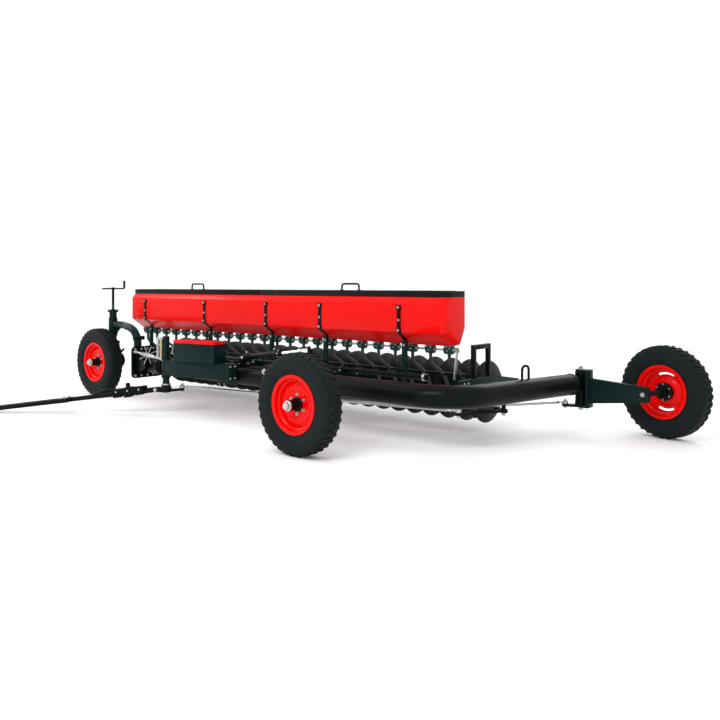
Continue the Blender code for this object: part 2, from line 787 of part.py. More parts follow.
def make_front_wheel():
    column = Vector((COLUMN_X, FRONT_COLUMN_Y))
    wheel_y = FRONT_COLUMN_Y - FRONT_TRACK
    tube = rod(
        "front_column", (*column, COLUMN_FOOT), (*column, COLUMN_TOP), COLUMN_RADIUS, GREEN, sides=24)
    collar = rod(
        "column_collar", (*column, COLUMN_TOP - 0.005), (*column, COLUMN_TOP + COLLAR_HEIGHT),
        COLLAR_RADIUS, GREEN, sides=24)
    combine(tube, "UNION", collar)
    seat = COLUMN_TOP + COLLAR_HEIGHT + GAP
    spindle = rod("jack_crank", (*column, seat), (*column, SPINDLE_TOP), SPINDLE_RADIUS, ZINC, sides=12)
    arm = CRANK_LENGTH / 2
    grip = bent_tube(
        "crank_bar",
        [(column.x, column.y - arm, SPINDLE_TOP), (column.x, column.y + arm, SPINDLE_TOP),
         (column.x, column.y + arm + 0.01, SPINDLE_TOP + 0.012),
         (column.x, column.y + arm + 0.01, SPINDLE_TOP + CRANK_GRIP)],
        CRANK_ROD, ZINC)
    combine(spindle, "UNION", as_mesh(grip))
    leg = rod(
        "front_leg", (*column, WHEEL_RADIUS - 0.05), (*column, COLUMN_FOOT - GAP),
        COLUMN_RADIUS - 0.012, GREEN, sides=24)
    axle = rod(
        "front_axle", (column.x, wheel_y + HUB_IN + GAP, WHEEL_RADIUS),
        (column.x, column.y + SPROCKET_OFFSET, WHEEL_RADIUS), AXLE_RADIUS, BLACK)
    sprocket = rod(
        "drive_sprocket", (column.x, column.y + SPROCKET_OFFSET - 0.04, WHEEL_RADIUS),
        (column.x, column.y + SPROCKET_OFFSET - 0.02, WHEEL_RADIUS), SPROCKET_RADIUS, BLACK)
    combine(leg, "UNION", axle, sprocket)
    swivel = pivot("front_swivel", (*column, COLUMN_FOOT))
    spindle_empty = make_wheel("front", (column.x, wheel_y, WHEEL_RADIUS), (0, -1, 0))
    hang_on(swivel, leg, spindle_empty)
    plate_face = TUBE_LEFT - END_PLATE - GAP - GOOSENECK_RADIUS + GOOSENECK_FLAT
    goose_y = TUBE_Y - 0.10
    bent_tube(
        "gooseneck",
        [(column.x + COLUMN_RADIUS + GAP, column.y, GOOSENECK_Z),
         (column.x + 0.30, column.y - 0.02, GOOSENECK_Z),
         (plate_face - 0.22, goose_y + 0.02, GOOSENECK_Z),
         (plate_face - 0.08, goose_y, GOOSENECK_Z - 0.04),
         (plate_face - 0.01, goose_y, GOOSENECK_Z - 0.13),
         (plate_face, goose_y, GOOSENECK_Z - 0.20),
         (plate_face, goose_y, TUBE_Z - 0.08)],
        GOOSENECK_RADIUS, GREEN, resolution=3)


def make_land_wheel():
    pad_top = LIFT_Z - LIFT_SHAFT_RADIUS - GAP
    box(
        "lift_bracket",
        (LIFT_X - LIFT_PAD_LENGTH / 2, TUBE_FRONT - 0.06, TUBE_Z + TUBE_RADIUS + GAP),
        (LIFT_X + LIFT_PAD_LENGTH / 2, LIFT_SHAFT_BACK, pad_top), BLACK)
    arm_y = LAND_Y + TYRE_WIDTH / 2 + 0.075 + CRANK_ARM_PLATE / 2
    shaft = rod(
        "land_arm", (LIFT_X, arm_y - CRANK_ARM_PLATE / 2, LIFT_Z), (LIFT_X, LIFT_SHAFT_BACK, LIFT_Z),
        LIFT_SHAFT_RADIUS, BLACK)
    crank = beam(
        "land_crank", (LIFT_X, arm_y, LIFT_Z), (LAND_X, arm_y, WHEEL_RADIUS),
        CRANK_ARM_PLATE, CRANK_ARM_HEIGHT, BLACK, end_height=0.09)
    axle = rod(
        "land_axle", (LAND_X - 0.01, LAND_Y + HUB_IN + GAP, WHEEL_RADIUS),
        (LAND_X - 0.01, arm_y + CRANK_ARM_PLATE / 2 + 0.02, WHEEL_RADIUS), AXLE_RADIUS, BLACK)
    lever_y = TUBE_Y + EYE_PLATE / 2 + GAP + LEVER_PLATE / 2
    lever = beam(
        "lift_lever", (LIFT_X, lever_y, LIFT_Z), (LEVER_PIN[0] - 0.012, lever_y, LEVER_PIN[1] + 0.025),
        LEVER_PLATE, LEVER_HEIGHT, BLACK)
    combine(shaft, "UNION", crank, axle, lever)
    lift = pivot("land_lift", (LIFT_X, LAND_Y, LIFT_Z))
    wheel = make_wheel("land", (LAND_X, LAND_Y, WHEEL_RADIUS), (0, -1, 0))
    hang_on(lift, shaft, wheel)


def make_lift_cylinder():
    start = Vector((CLEVIS_PIN[0], TUBE_Y, CLEVIS_PIN[1]))
    end = Vector((LEVER_PIN[0], TUBE_Y, LEVER_PIN[1]))
    run = (end - start).normalized()
    base_top = TUBE_Z + TUBE_RADIUS + GAP + 0.02
    half_tang = EYE_PLATE / 2
    base = box(
        "lift_clevis",
        (start.x - 0.07, TUBE_Y - 0.06, TUBE_Z + TUBE_RADIUS + GAP),
        (start.x + 0.07, TUBE_Y + 0.06, base_top), BLACK)
    for index, side in enumerate((-1, 1)):
        near = TUBE_Y + side * (half_tang + GAP)
        far = TUBE_Y + side * (half_tang + GAP + CHEEK_PLATE)
        low, high = sorted((near, far))
        cheek = box(
            f"clevis_cheek_{index + 1}", (start.x - 0.03, low, base_top - 0.01),
            (start.x + 0.03, high, start.z + 0.03), BLACK)
        combine(base, "UNION", cheek)
    tail = 0.04
    barrel = rod(
        "lift_barrel", start + run * tail, start + run * (tail + BARREL_LENGTH), BARREL_RADIUS, BLACK)
    tang = beam(
        "barrel_tang", start - run * 0.02, start + run * (tail + 0.02), EYE_PLATE, 0.04, BLACK)
    mouth = start + run * (tail + BARREL_LENGTH)
    bore = rod(
        "barrel_bore", mouth - run * (ROD_IN_BARREL + ROD_TRAVEL), mouth + run * 0.05,
        ROD_RADIUS + RUNNING_GAP, BLACK, sides=12)
    combine(barrel, "UNION", tang)
    combine(barrel, "DIFFERENCE", bore)
    chrome = rod(
        "lift_rod", mouth - run * ROD_IN_BARREL, end - run * 0.09, ROD_RADIUS, CHROME, sides=12)
    eye = beam("rod_eye", end - run * 0.11, end + run * 0.025, EYE_PLATE, 0.045, CHROME)
    combine(chrome, "UNION", eye)
    hinge = pivot("lift_barrel_hinge", start)
    hang_on(hinge, barrel, chrome)


def make_rear_wheel():
    centre = pivot_centre()
    roll = Vector((math.cos(REAR_TOE), math.sin(REAR_TOE)))
    inward = Vector((roll.y, -roll.x))
    wheel_centre = past_row((REAR_X, REAR_Y))
    tip = wheel_centre + inward * REAR_ARM_OFFSET
    post = rod(
        "rear_pivot", (*centre, YOKE_FOOT), (*centre, YOKE_HEAD), PIVOT_RADIUS, GREEN, sides=24)
    tail = Vector((-math.sin(TAIL_LEAN), -math.cos(TAIL_LEAN)))
    neck = beam(
        "pivot_neck", (*centre, TUBE_Z), (*(centre + tail * (PIVOT_RADIUS + NECK_LENGTH)), TUBE_Z),
        NECK_WIDTH, NECK_HEIGHT, GREEN)
    combine(post, "UNION", neck)
    run = (tip - centre).normalized()
    web = PIVOT_RADIUS + YOKE_CLEARANCE
    mid_z = (YOKE_FOOT + YOKE_HEAD) / 2
    yoke_height = YOKE_HEAD - YOKE_FOOT + 2 * (YOKE_PLATE + GAP)
    near = centre + run * web
    far = centre + run * (web + YOKE_PLATE)
    arm = beam("rear_arm", (*near, mid_z), (*far, mid_z), YOKE_WIDTH, yoke_height, GREEN)
    back = centre - run * 0.05
    inside = centre + run * (web + YOKE_PLATE / 2)
    for label, z in (("head", YOKE_HEAD + GAP + YOKE_PLATE / 2), ("foot", YOKE_FOOT - GAP - YOKE_PLATE / 2)):
        ear = beam(f"yoke_{label}", (*back, z), (*inside, z), YOKE_WIDTH - 0.02, YOKE_PLATE, GREEN)
        combine(arm, "UNION", ear)
    foot_z = YOKE_FOOT - GAP - YOKE_PLATE / 2
    steer = past_row(TIE_PIN)
    lever = beam(
        "steering_ear", (*centre, foot_z), (*(steer + (steer - centre).normalized() * 0.03), foot_z),
        0.07, YOKE_PLATE, GREEN)
    web_mid = centre + run * (web + YOKE_PLATE / 2)
    spine = beam(
        "rear_spine", (*web_mid, YOKE_FOOT + REAR_ARM_HEIGHT / 2 + 0.02),
        (*(tip + run * 0.05), WHEEL_RADIUS), REAR_ARM_PLATE, REAR_ARM_HEIGHT, GREEN,
        end_height=REAR_ARM_TIP)
    axle = rod(
        "rear_axle", (*(wheel_centre + inward * (HUB_IN + GAP)), WHEEL_RADIUS), (*tip, WHEEL_RADIUS),
        AXLE_RADIUS, BLACK)
    combine(arm, "UNION", lever, spine, axle)
    swivel = pivot("rear_swivel", (*centre, mid_z))
    wheel = make_wheel("rear", (*wheel_centre, WHEEL_RADIUS), (*(-inward), 0))
    hang_on(swivel, arm, wheel)


def make_steering():
    plate_z = ROD_Z - GAP - STEER_PLATE / 2 - GAP
    crank_pin = past_row(STEER_CRANK_PIN)
    front_pin = past_row(STEER_FRONT_PIN)
    rear_pin = past_row(STEER_REAR_PIN)
    tie_pin = past_row(TIE_PIN)
    past = 0.03
    crank = beam(
        "steering_crank", (*(crank_pin - (front_pin - crank_pin).normalized() * past), plate_z),
        (*(front_pin + (front_pin - crank_pin).normalized() * past), plate_z),
        STEER_ARM_WIDTH, STEER_PLATE, BLACK)
    short = beam(
        "crank_short_arm", (*crank_pin, plate_z),
        (*(rear_pin + (rear_pin - crank_pin).normalized() * past), plate_z),
        STEER_ARM_WIDTH, STEER_PLATE, BLACK)
    combine(crank, "UNION", short)
    hinge = pivot("steering_crank_pin", (*crank_pin, plate_z))
    hang_on(hinge, crank)
    bracket_low = 0.44
    bracket_high = 0.47
    inner = min(
        tail_inner_x(crank_pin.y - 0.04, bracket_low), tail_inner_x(crank_pin.y - 0.04, bracket_high))
    bracket = box(
        "crank_bracket", (crank_pin.x - 0.04, crank_pin.y - 0.04, bracket_low),
        (inner - GAP, crank_pin.y + 0.04, bracket_high), GREEN)
    pin = rod(
        "crank_post", (*crank_pin, plate_z + STEER_PLATE / 2 + GAP), (*crank_pin, bracket_low + 0.01),
        0.022, GREEN)
    combine(bracket, "UNION", pin)
    rod_z = ROD_Z + STEER_ROD_RADIUS
    lever = Vector(STEER_LEVER)
    along = (front_pin - lever).normalized() * past
    steering = rod(
        "steering_rod", (*(lever - along), rod_z), (*(front_pin + along), rod_z),
        STEER_ROD_RADIUS, ZINC, sides=12)
    tie_z = ROD_Z + TIE_ROD_RADIUS
    along = (tie_pin - rear_pin).normalized() * past * 0.7
    tie = rod(
        "tie_rod", (*(rear_pin - along), tie_z), (*(tie_pin + along), tie_z), TIE_ROD_RADIUS, ZINC,
        sides=12)
    hang_on(pivot("steering_rod_slide", (*lever, rod_z)), steering)
    hang_on(pivot("tie_rod_pin", (*rear_pin, tie_z)), tie)


def beam_frame():
    """Post, direction of the hitch beam in plan, and the corner of it that meets the clamp."""
    post = Vector((POST_X, POST_Y))
    corner = Vector((BEAM_X, TUBE_FRONT - GAP - CLAMP_PLATE - GAP))
    reach = corner - post
    heading = math.atan2(reach.y, reach.x) - math.asin(BEAM_WIDTH / 2 / reach.length)
    return post, Vector((math.cos(heading), math.sin(heading))), corner


def make_hitch():
    post, run, corner = beam_frame()
    across = Vector((-run.y, run.x)) * BEAM_WIDTH / 2
    start = post + run * (POST_RADIUS + GAP)
    low_corner = corner - Vector((0, BEAM_WIDTH / run.x))
    outline = [start + across, start - across, low_corner, corner]
    plate(
        "hitch_beam", [tuple(point) for point in outline], BEAM_TOP - BEAM_BOTTOM,
        (BEAM_TOP + BEAM_BOTTOM) / 2, "Z", GREEN)
    clamp_right = BEAM_X + GAP + CLAMP_PLATE
    clamp_back = TUBE_FRONT - GAP
    clamp = box(
        "beam_clamp",
        (clamp_right - CLAMP_LENGTH, clamp_back - CLAMP_PLATE, TUBE_Z - TUBE_RADIUS),
        (clamp_right, clamp_back, BEAM_TOP), BLACK)
    end_plate = box(
        "clamp_end", (BEAM_X + GAP, low_corner.y, BEAM_BOTTOM),
        (clamp_right, clamp_back, BEAM_TOP), BLACK)
    combine(clamp, "UNION", end_plate)
    rod("hitch_post", (*post, POST_FOOT), (*post, POST_TOP), POST_RADIUS, GREEN, sides=24)
    make_toolbox(post, run)
    anchor = Vector((TUBE_LEFT + GAP, TURNBUCKLE_Y, TURNBUCKLE_Z))
    far = Vector((POST_X, POST_Y, TURNBUCKLE_Z - TURNBUCKLE_DROP))
    line = (far - anchor).normalized()
    turnbuckle = rod(
        "turnbuckle", anchor - line * END_PLATE, far - line * (POST_RADIUS + TURNBUCKLE_GAP),
        TURNBUCKLE_RADIUS, ZINC, sides=12)
    end_cut = box("plate_side", (TUBE_LEFT - 0.1, -1.0, 0.5), (TUBE_LEFT + GAP, -0.3, 0.9), BLACK)
    combine(turnbuckle, "DIFFERENCE", end_cut)


def make_toolbox(post, run):
    heading = math.atan2(run.y, run.x)
    centre = post + run * (TOOLBOX_START + TOOLBOX_LENGTH / 2)
    floor = BEAM_TOP + GAP
    turn = Matrix.Rotation(heading, 4, "Z")

    def tray(name, foot, height, opening, sheet, finish, length, width):
        bm = bmesh.new()
        bmesh.ops.create_cube(bm, size=1.0)
        bmesh.ops.scale(bm, vec=(length, width, height), verts=bm.verts)
        bmesh.ops.translate(bm, vec=(0, 0, foot + height / 2), verts=bm.verts)
        open_shell(bm, opening)
        obj = sheet_metal(name, bm, sheet, finish)
        obj.matrix_world = Matrix.Translation((*centre, 0)) @ turn
        return obj

    tray("toolbox", floor, TOOLBOX_HEIGHT, floor + TOOLBOX_HEIGHT, TOOLBOX_SHEET, GREEN,
         TOOLBOX_LENGTH, TOOLBOX_WIDTH)
    rim = floor + TOOLBOX_HEIGHT + GAP
    lid = tray("toolbox_lid", rim, TOOLBOX_LID, rim, TOOLBOX_SHEET, GREEN,
               TOOLBOX_LENGTH, TOOLBOX_WIDTH)
    back = centre + Vector((-run.y, run.x)) * TOOLBOX_WIDTH / 2
    hang_on(pivot("toolbox_hinge", (*back, rim)), lid)


def make_tow_bar():
    post = Vector((POST_X, POST_Y))
    heading = Vector((-math.cos(TOW_HEADING), -math.sin(TOW_HEADING)))
    across = Vector((-heading.y, heading.x))
    collar_foot = YOKE_FOOT - GAP - STEER_PLATE
    collar = rod(
        "tow_clevis", (*post, collar_foot), (*post, POST_FOOT - GAP), 0.065, BLACK, sides=24)
    lever_z = ROD_Z - GAP - STEER_PLATE / 2 - GAP
    lever = Vector(STEER_LEVER)
    ear = beam(
        "tow_lever", (*post, lever_z), (*(lever + (lever - post).normalized() * 0.03), lever_z),
        STEER_ARM_WIDTH, STEER_PLATE, BLACK)
    combine(collar, "UNION", ear)
    for index, side in enumerate((-1, 1)):
        shift = across * side * (TOW_WIDTH / 2 + GAP + TOW_CHEEK / 2)
        start = post + heading * 0.03 + shift
        end = post + heading * (TOW_PIVOT + 0.035) + shift
        z = (collar_foot + POST_FOOT - GAP) / 2
        cheek = beam(
            f"tow_cheek_{index + 1}", (*start, z), (*end, z), TOW_CHEEK,
            POST_FOOT - GAP - collar_foot - 0.002, BLACK)
        combine(collar, "UNION", cheek)
    hang_on(pivot("tow_yaw", (*post, TOW_PIVOT_Z)), collar)
    hinge = Vector((*(post + heading * TOW_PIVOT), TOW_PIVOT_Z))
    half = TOW_HEIGHT / 2
    reach = math.hypot(TOW_LENGTH, half)
    droop = math.asin(TOW_PIVOT_Z / reach) - math.atan2(half, TOW_LENGTH)
    run = Vector((*(heading * math.cos(droop)), -math.sin(droop)))
    shank = beam(
        "tow_bar", hinge - run * TOW_SHANK, hinge + run * (TOW_FORK_START + 0.05),
        TOW_WIDTH, TOW_HEIGHT, BLACK)
    fork = beam(
        "tow_fork", hinge + run * TOW_FORK_START, hinge + run * TOW_LENGTH,
        TOW_FORK_WIDTH, TOW_HEIGHT, BLACK)
    slot = beam(
        "fork_slot", hinge + run * (TOW_FORK_START + 0.10), hinge + run * (TOW_LENGTH - 0.12),
        TOW_FORK_WIDTH - 2 * TOW_FORK_BAR, TOW_HEIGHT * 2, BLACK)
    combine(shank, "UNION", fork)
    combine(shank, "DIFFERENCE", slot)
    hang_on(pivot("tow_pitch", hinge), shank)


def set_origin():
    """Put the origin on the ground under the middle of the machine's box."""
    bpy.context.view_layer.update()
    graph = bpy.context.evaluated_depsgraph_get()
    low = Vector((1e9, 1e9, 1e9))
    high = -low
    for obj in MACHINE.objects:
        if obj.type == "EMPTY":
            continue
        mesh = bpy.data.meshes.new_from_object(obj.evaluated_get(graph))
        for vert in mesh.vertices:
            place = obj.matrix_world @ vert.co
            low = Vector(map(min, low, place))
            high = Vector(map(max, high, place))
        bpy.data.meshes.remove(mesh)
    origin = bpy.data.objects.new("machine_origin", None)
    MACHINE.objects.link(origin)
    middle = (low + high) / 2
    origin.location = (-middle.x, -middle.y, -low.z)
    for obj in list(MACHINE.objects) + list(CUTTERS.objects):
        if obj.parent is None and obj is not origin:
            obj.parent = origin


clear_scene()
MACHINE = new_collection("seed_drill")
CUTTERS = new_collection("seed_drill_cutters")
make_main_tube()
make_stand()
make_hopper()
make_lid("lid_left", -1)
make_lid("lid_right", 1)
make_metering()
make_seed_tubes()
make_hangers()
make_gangs()
make_scraper_bar()
make_rock_shaft()
make_gantry()
make_front_wheel()
make_land_wheel()
make_lift_cylinder()
make_rear_wheel()
make_steering()
make_hitch()
make_tow_bar()
set_origin()
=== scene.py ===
import json
import math
import random

import bmesh
import bpy
from mathutils import Matrix, Vector


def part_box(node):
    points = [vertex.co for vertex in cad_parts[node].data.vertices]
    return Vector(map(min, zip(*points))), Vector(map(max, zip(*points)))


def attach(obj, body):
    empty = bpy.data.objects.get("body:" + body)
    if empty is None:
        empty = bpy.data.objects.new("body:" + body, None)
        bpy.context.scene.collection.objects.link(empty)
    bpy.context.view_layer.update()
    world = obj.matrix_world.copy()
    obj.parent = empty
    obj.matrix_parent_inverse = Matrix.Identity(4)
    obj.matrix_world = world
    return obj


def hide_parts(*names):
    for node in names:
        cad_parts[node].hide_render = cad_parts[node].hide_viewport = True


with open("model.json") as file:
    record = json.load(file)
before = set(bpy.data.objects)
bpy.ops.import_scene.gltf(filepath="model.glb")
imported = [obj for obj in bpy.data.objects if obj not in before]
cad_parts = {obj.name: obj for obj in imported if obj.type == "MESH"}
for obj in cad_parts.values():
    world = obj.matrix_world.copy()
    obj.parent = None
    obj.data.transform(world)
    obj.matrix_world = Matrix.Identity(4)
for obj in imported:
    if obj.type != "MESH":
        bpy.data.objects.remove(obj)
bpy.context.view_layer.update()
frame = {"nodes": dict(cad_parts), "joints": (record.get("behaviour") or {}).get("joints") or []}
random.seed(7)

# ---------------------------------------------------------------- studio
# A sheet of white paper on the floor, an even white surround and three large soft lamps. The
# camera stands off the rear wheel's end of the machine, a little above hopper height.
HOPPER_X = -0.035
hopper_low, hopper_high = (Vector(corner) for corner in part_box("hopper"))
DATUM = Vector(((hopper_low.x + hopper_high.x) / 2 - HOPPER_X, hopper_low.y, 0.0))


def at(x, y, z=0.0):
    """A place measured from the hopper's front face and the middle of the frame, on the ground."""
    return DATUM + Vector((x, y, z))


camera_data = bpy.data.cameras.new("camera")
camera_data.lens = 37.15
camera_data.sensor_width = 36.0
camera_data.shift_y = -0.104
camera = bpy.data.objects.new("camera", camera_data)
camera.location = at(6.73, -6.05, 1.55)
camera.rotation_euler = (math.radians(90.0), 0.0, math.radians(40.3))
bpy.context.scene.collection.objects.link(camera)
bpy.context.scene.camera = camera
bpy.context.scene.view_settings.view_transform = "Standard"

world = bpy.data.worlds.new("surround")
bpy.context.scene.world = world
world.use_nodes = True
world.node_tree.nodes["Background"].inputs["Color"].default_value = (1.0, 1.0, 1.0, 1.0)
world.node_tree.nodes["Background"].inputs["Strength"].default_value = 1.07


def soft_lamp(name, place, aim_at, size, power):
    lamp = bpy.data.lights.new(name, "AREA")
    lamp.shape = "RECTANGLE"
    lamp.size = size
    lamp.size_y = size * 0.6
    lamp.energy = power
    obj = bpy.data.objects.new(name, lamp)
    obj.location = place
    obj.rotation_mode = "QUATERNION"
    obj.rotation_quaternion = (aim_at - place).to_track_quat("-Z", "Y")
    bpy.context.scene.collection.objects.link(obj)


soft_lamp("key_lamp", at(3.0, -7.5, 7.0), at(0.0, 0.0, 0.6), 5.0, 380.0)
soft_lamp("side_lamp", at(-7.0, -3.0, 5.0), at(-0.5, 0.0, 0.5), 4.0, 160.0)
soft_lamp("back_lamp", at(2.0, 7.0, 6.0), at(0.5, 0.5, 0.5), 5.0, 160.0)


class Term:
    """A shader socket that takes part in sums."""

    def __init__(self, finish, socket):
        self.finish = finish
        self.socket = socket

    def _maths(self, operation, first, second):
        return self.finish.add("ShaderNodeMath", {"operation": operation}, {0: first, 1: second})

    def __add__(self, other):
        return self._maths("ADD", self, other)

    __radd__ = __add__

    def __sub__(self, other):
        return self._maths("SUBTRACT", self, other)

    def __rsub__(self, other):
        return self._maths("SUBTRACT", other, self)

    def __mul__(self, other):
        return self._maths("MULTIPLY", self, other)

    __rmul__ = __mul__


class Finish:
    """One painted, plated or moulded surface, as a tree of nodes round its shader."""

    def __init__(self, name):
        self.material = bpy.data.materials.new(name)
        self.material.use_nodes = True
        self.tree = self.material.node_tree
        self.shader = self.tree.nodes["Principled BSDF"]

    def add(self, kind, settings=None, sockets=None, output=0):
        node = self.tree.nodes.new(kind)
        for key, value in (settings or {}).items():
            setattr(node, key, value)
        for key, value in (sockets or {}).items():
            if isinstance(value, Term):
                self.tree.links.new(value.socket, node.inputs[key])
            else:
                node.inputs[key].default_value = value
        return Term(self, node.outputs[output])

    def place(self):
        return self.add("ShaderNodeTexCoord", output="Object")

    def stretched(self, scale):
        return self.add("ShaderNodeMapping", {}, {"Vector": self.place(), "Scale": scale})

    def cloud(self, scale, detail=3.0, vector=None, rough=0.5):
        return self.add(
            "ShaderNodeTexNoise", {},
            {"Vector": vector or self.place(), "Scale": scale, "Detail": detail,
             "Roughness": rough})

    def ramp(self, term, low, high):
        """0 below low, 1 above high."""
        return self.add("ShaderNodeMapRange", {"clamp": True}, {0: term, 1: low, 2: high})

    def height(self):
        return self.add("ShaderNodeSeparateXYZ", {}, {0: self.place()}, output="Z")

    def colours(self, factor, first, second):
        return self.add(
            "ShaderNodeMix", {"data_type": "RGBA"},
            {0: factor, 6: first if isinstance(first, Term) else (*first, 1.0),
             7: second if isinstance(second, Term) else (*second, 1.0)}, output=2)

    def set(self, **values):
        for key, value in values.items():
            socket = self.shader.inputs[key.replace("_", " ")]
            if isinstance(value, Term):
                self.tree.links.new(value.socket, socket)
            elif isinstance(value, tuple):
                socket.default_value = (*value, 1.0)
            else:
                socket.default_value = value
        return self

    def bump(self, term, strength, distance):
        return self.add(
            "ShaderNodeBump", {}, {"Strength": strength, "Distance": distance, "Height": term})


paper = Finish("floor_paper")
paper.set(
    Base_Color=paper.colours(paper.cloud(0.4, 2.0), (0.93, 0.93, 0.93), (0.96, 0.96, 0.96)),
    Roughness=0.9,
    Normal=paper.bump(paper.cloud(300.0, 2.0), 0.02, 0.001))
bpy.ops.mesh.primitive_plane_add(size=80.0, location=at(0.0, 0.0, -0.0005))
floor = bpy.context.object
floor.name = "floor"
floor.data.materials.append(paper.material)


# ---------------------------------------------------------------- main tube
# The backbone is a 219 mm steel tube along the front of the discs, cold bent round the rear
# end and run back to the rear wheel's pivot. It is shot blasted and sprayed black.
def enamel(name, colour, roughness=0.32, dust=0.006, coat=0.04, spread=0.16):
    """Sprayed enamel: slight orange peel, uneven gloss and a trace of dust near the ground."""
    finish = Finish(name)
    broad = finish.cloud(1.7, 4.0)
    fine = finish.cloud(420.0, 2.0)
    peel = finish.cloud(95.0, 2.0)
    speck = finish.ramp(finish.cloud(38.0, 6.0, rough=0.7), 0.64, 0.80)
    low = finish.ramp(1.1 - finish.height(), 0.1, 1.1)
    film = finish.ramp(finish.cloud(6.0, 6.0), 0.35, 0.75) * low * dust
    deep = tuple(value * (1.0 - spread) for value in colour)
    bright = tuple(min(1.0, value * (1.0 + spread) + 0.001) for value in colour)
    paint = finish.colours(finish.ramp(broad, 0.3, 0.7), deep, bright)
    dusty = finish.colours(film, paint, (0.20, 0.18, 0.16))
    worn = finish.colours(speck * 0.008, dusty, (0.30, 0.29, 0.27))
    finish.set(
        Base_Color=worn,
        Roughness=roughness + broad * 0.10 + film * 0.5 + fine * 0.04,
        Coat_Weight=coat - film * 0.3,
        Normal=finish.bump(peel, 0.05, 0.002))
    finish.shader.inputs["Coat Roughness"].default_value = 0.10
    finish.shader.inputs["Specular IOR Level"].default_value = 0.07
    return finish.material


FRAME_BLACK = enamel("frame_black_enamel", (0.0016, 0.0032, 0.0034), 0.26)
FRAME_GREEN = enamel("frame_green_enamel", (0.0022, 0.0130, 0.0118), 0.28)


def turn(bm, profile, centre, axis, sides, swing=0.0):
    """Turned piece: profile of (radius, along), laid along an axis from its centre."""
    basis = Vector(axis).normalized().to_track_quat("Z", "Y").to_matrix()
    rings = []
    for radius, along in profile:
        if radius < 1e-6:
            rings.append([bm.verts.new(centre + basis @ Vector((0.0, 0.0, along)))])
            continue
        ring = []
        for step in range(sides):
            angle = math.tau * step / sides + swing
            local = Vector((radius * math.cos(angle), radius * math.sin(angle), along))
            ring.append(bm.verts.new(centre + basis @ local))
        rings.append(ring)
    for one, two in zip(rings, rings[1:]):
        for step in range(max(len(one), len(two))):
            following = (step + 1) % sides
            if len(one) == 1 and len(two) == 1:
                continue
            if len(one) == 1:
                bm.faces.new((one[0], two[step], two[following]))
            elif len(two) == 1:
                bm.faces.new((one[step], two[0], one[following]))
            else:
                bm.faces.new((one[step], two[step], two[following], one[following]))


def draw_tube(bm, points, radius, sides=14, radii=None):
    """Round bar or tube along a route; radii may vary from point to point."""
    points = [Vector(point) for point in points]
    forward = (points[1] - points[0]).normalized()
    side = forward.orthogonal().normalized()
    rings = []
    for index, point in enumerate(points):
        before = points[max(index - 1, 0)]
        after = points[min(index + 1, len(points) - 1)]
        tangent = (after - before).normalized()
        side = (side - tangent * side.dot(tangent)).normalized()
        up = tangent.cross(side)
        size = radii[index] if radii else radius
        ring = []
        for step in range(sides):
            angle = math.tau * step / sides
            outward = side * math.cos(angle) + up * math.sin(angle)
            ring.append(bm.verts.new(point + outward * size))
        rings.append(ring)
    for one, two in zip(rings, rings[1:]):
        for step in range(sides):
            following = (step + 1) % sides
            bm.faces.new((one[step], one[following], two[following], two[step]))
    bm.faces.new(list(reversed(rings[0])))
    bm.faces.new(rings[-1])


def bar(bm, start, end, radius, sides=24, edge=0.002):
    """Straight round bar with eased ends."""
    start, end = Vector(start), Vector(end)
    length = (end - start).length
    turn(bm, [(0.0, 0.0), (radius - edge, 0.0), (radius, edge), (radius, length - edge),
              (radius - edge, length), (0.0, length)], start, end - start, sides)


def rounded(points, radius, steps=8):
    """A route whose corners are rounded off."""
    points = [Vector(point) for point in points]
    route = [points[0]]
    for before, corner, after in zip(points, points[1:], points[2:]):
        back = before - corner
        ahead = after - corner
        reach = min(radius, back.length * 0.49, ahead.length * 0.49)
        start = corner + back.normalized() * reach
        end = corner + ahead.normalized() * reach
        for step in range(steps + 1):
            share = step / steps
            route.append(
                start * (1 - share) ** 2 + corner * 2 * share * (1 - share) + end * share ** 2)
    route.append(points[-1])
    return route


def along_line(start, end):
    """Rotation whose local X lies along a line and whose local Z stays near up."""
    run = (Vector(end) - Vector(start)).normalized()
    side = Vector((0.0, 0.0, 1.0)).cross(run).normalized()
    return Matrix((run, side, run.cross(side))).transposed().to_quaternion()


def block(bm, centre, size, heading=None, edge=0.003):
    """Flat-sided block with eased edges; heading is a rotation."""
    grown = bmesh.ops.create_cube(bm, size=1.0)
    verts = grown["verts"]
    rotation = heading.to_matrix().to_4x4() if heading else Matrix.Identity(4)
    place = Matrix.Translation(centre) @ rotation @ Matrix.Diagonal((*size, 1.0))
    bmesh.ops.transform(bm, matrix=place, verts=verts)
    if edge:
        edges = list({one for vert in verts for one in vert.link_edges})
        bmesh.ops.bevel(bm, geom=edges, offset=edge, segments=2, profile=0.5, affect="EDGES")


def flat_bar(bm, start, end, across, tall, edge=0.003, past=0.0):
    """Flat bar between two points: across is level, tall is upright."""
    start, end = Vector(start), Vector(end)
    block(bm, (start + end) / 2, ((end - start).length + 2 * past, across, tall),
          along_line(start, end), edge)


def sheet_cut(bm, outline, thickness):
    """Flat plate cut to an outline of points that lie in one plane."""
    verts = [bm.verts.new(point) for point in outline]
    face = bm.faces.new(verts)
    face.normal_update()
    shift = face.normal * thickness
    bmesh.ops.translate(bm, vec=-shift / 2, verts=verts)
    grown = bmesh.ops.extrude_face_region(bm, geom=[face])
    moved = [item for item in grown["geom"] if isinstance(item, bmesh.types.BMVert)]
    bmesh.ops.translate(bm, vec=shift, verts=moved)


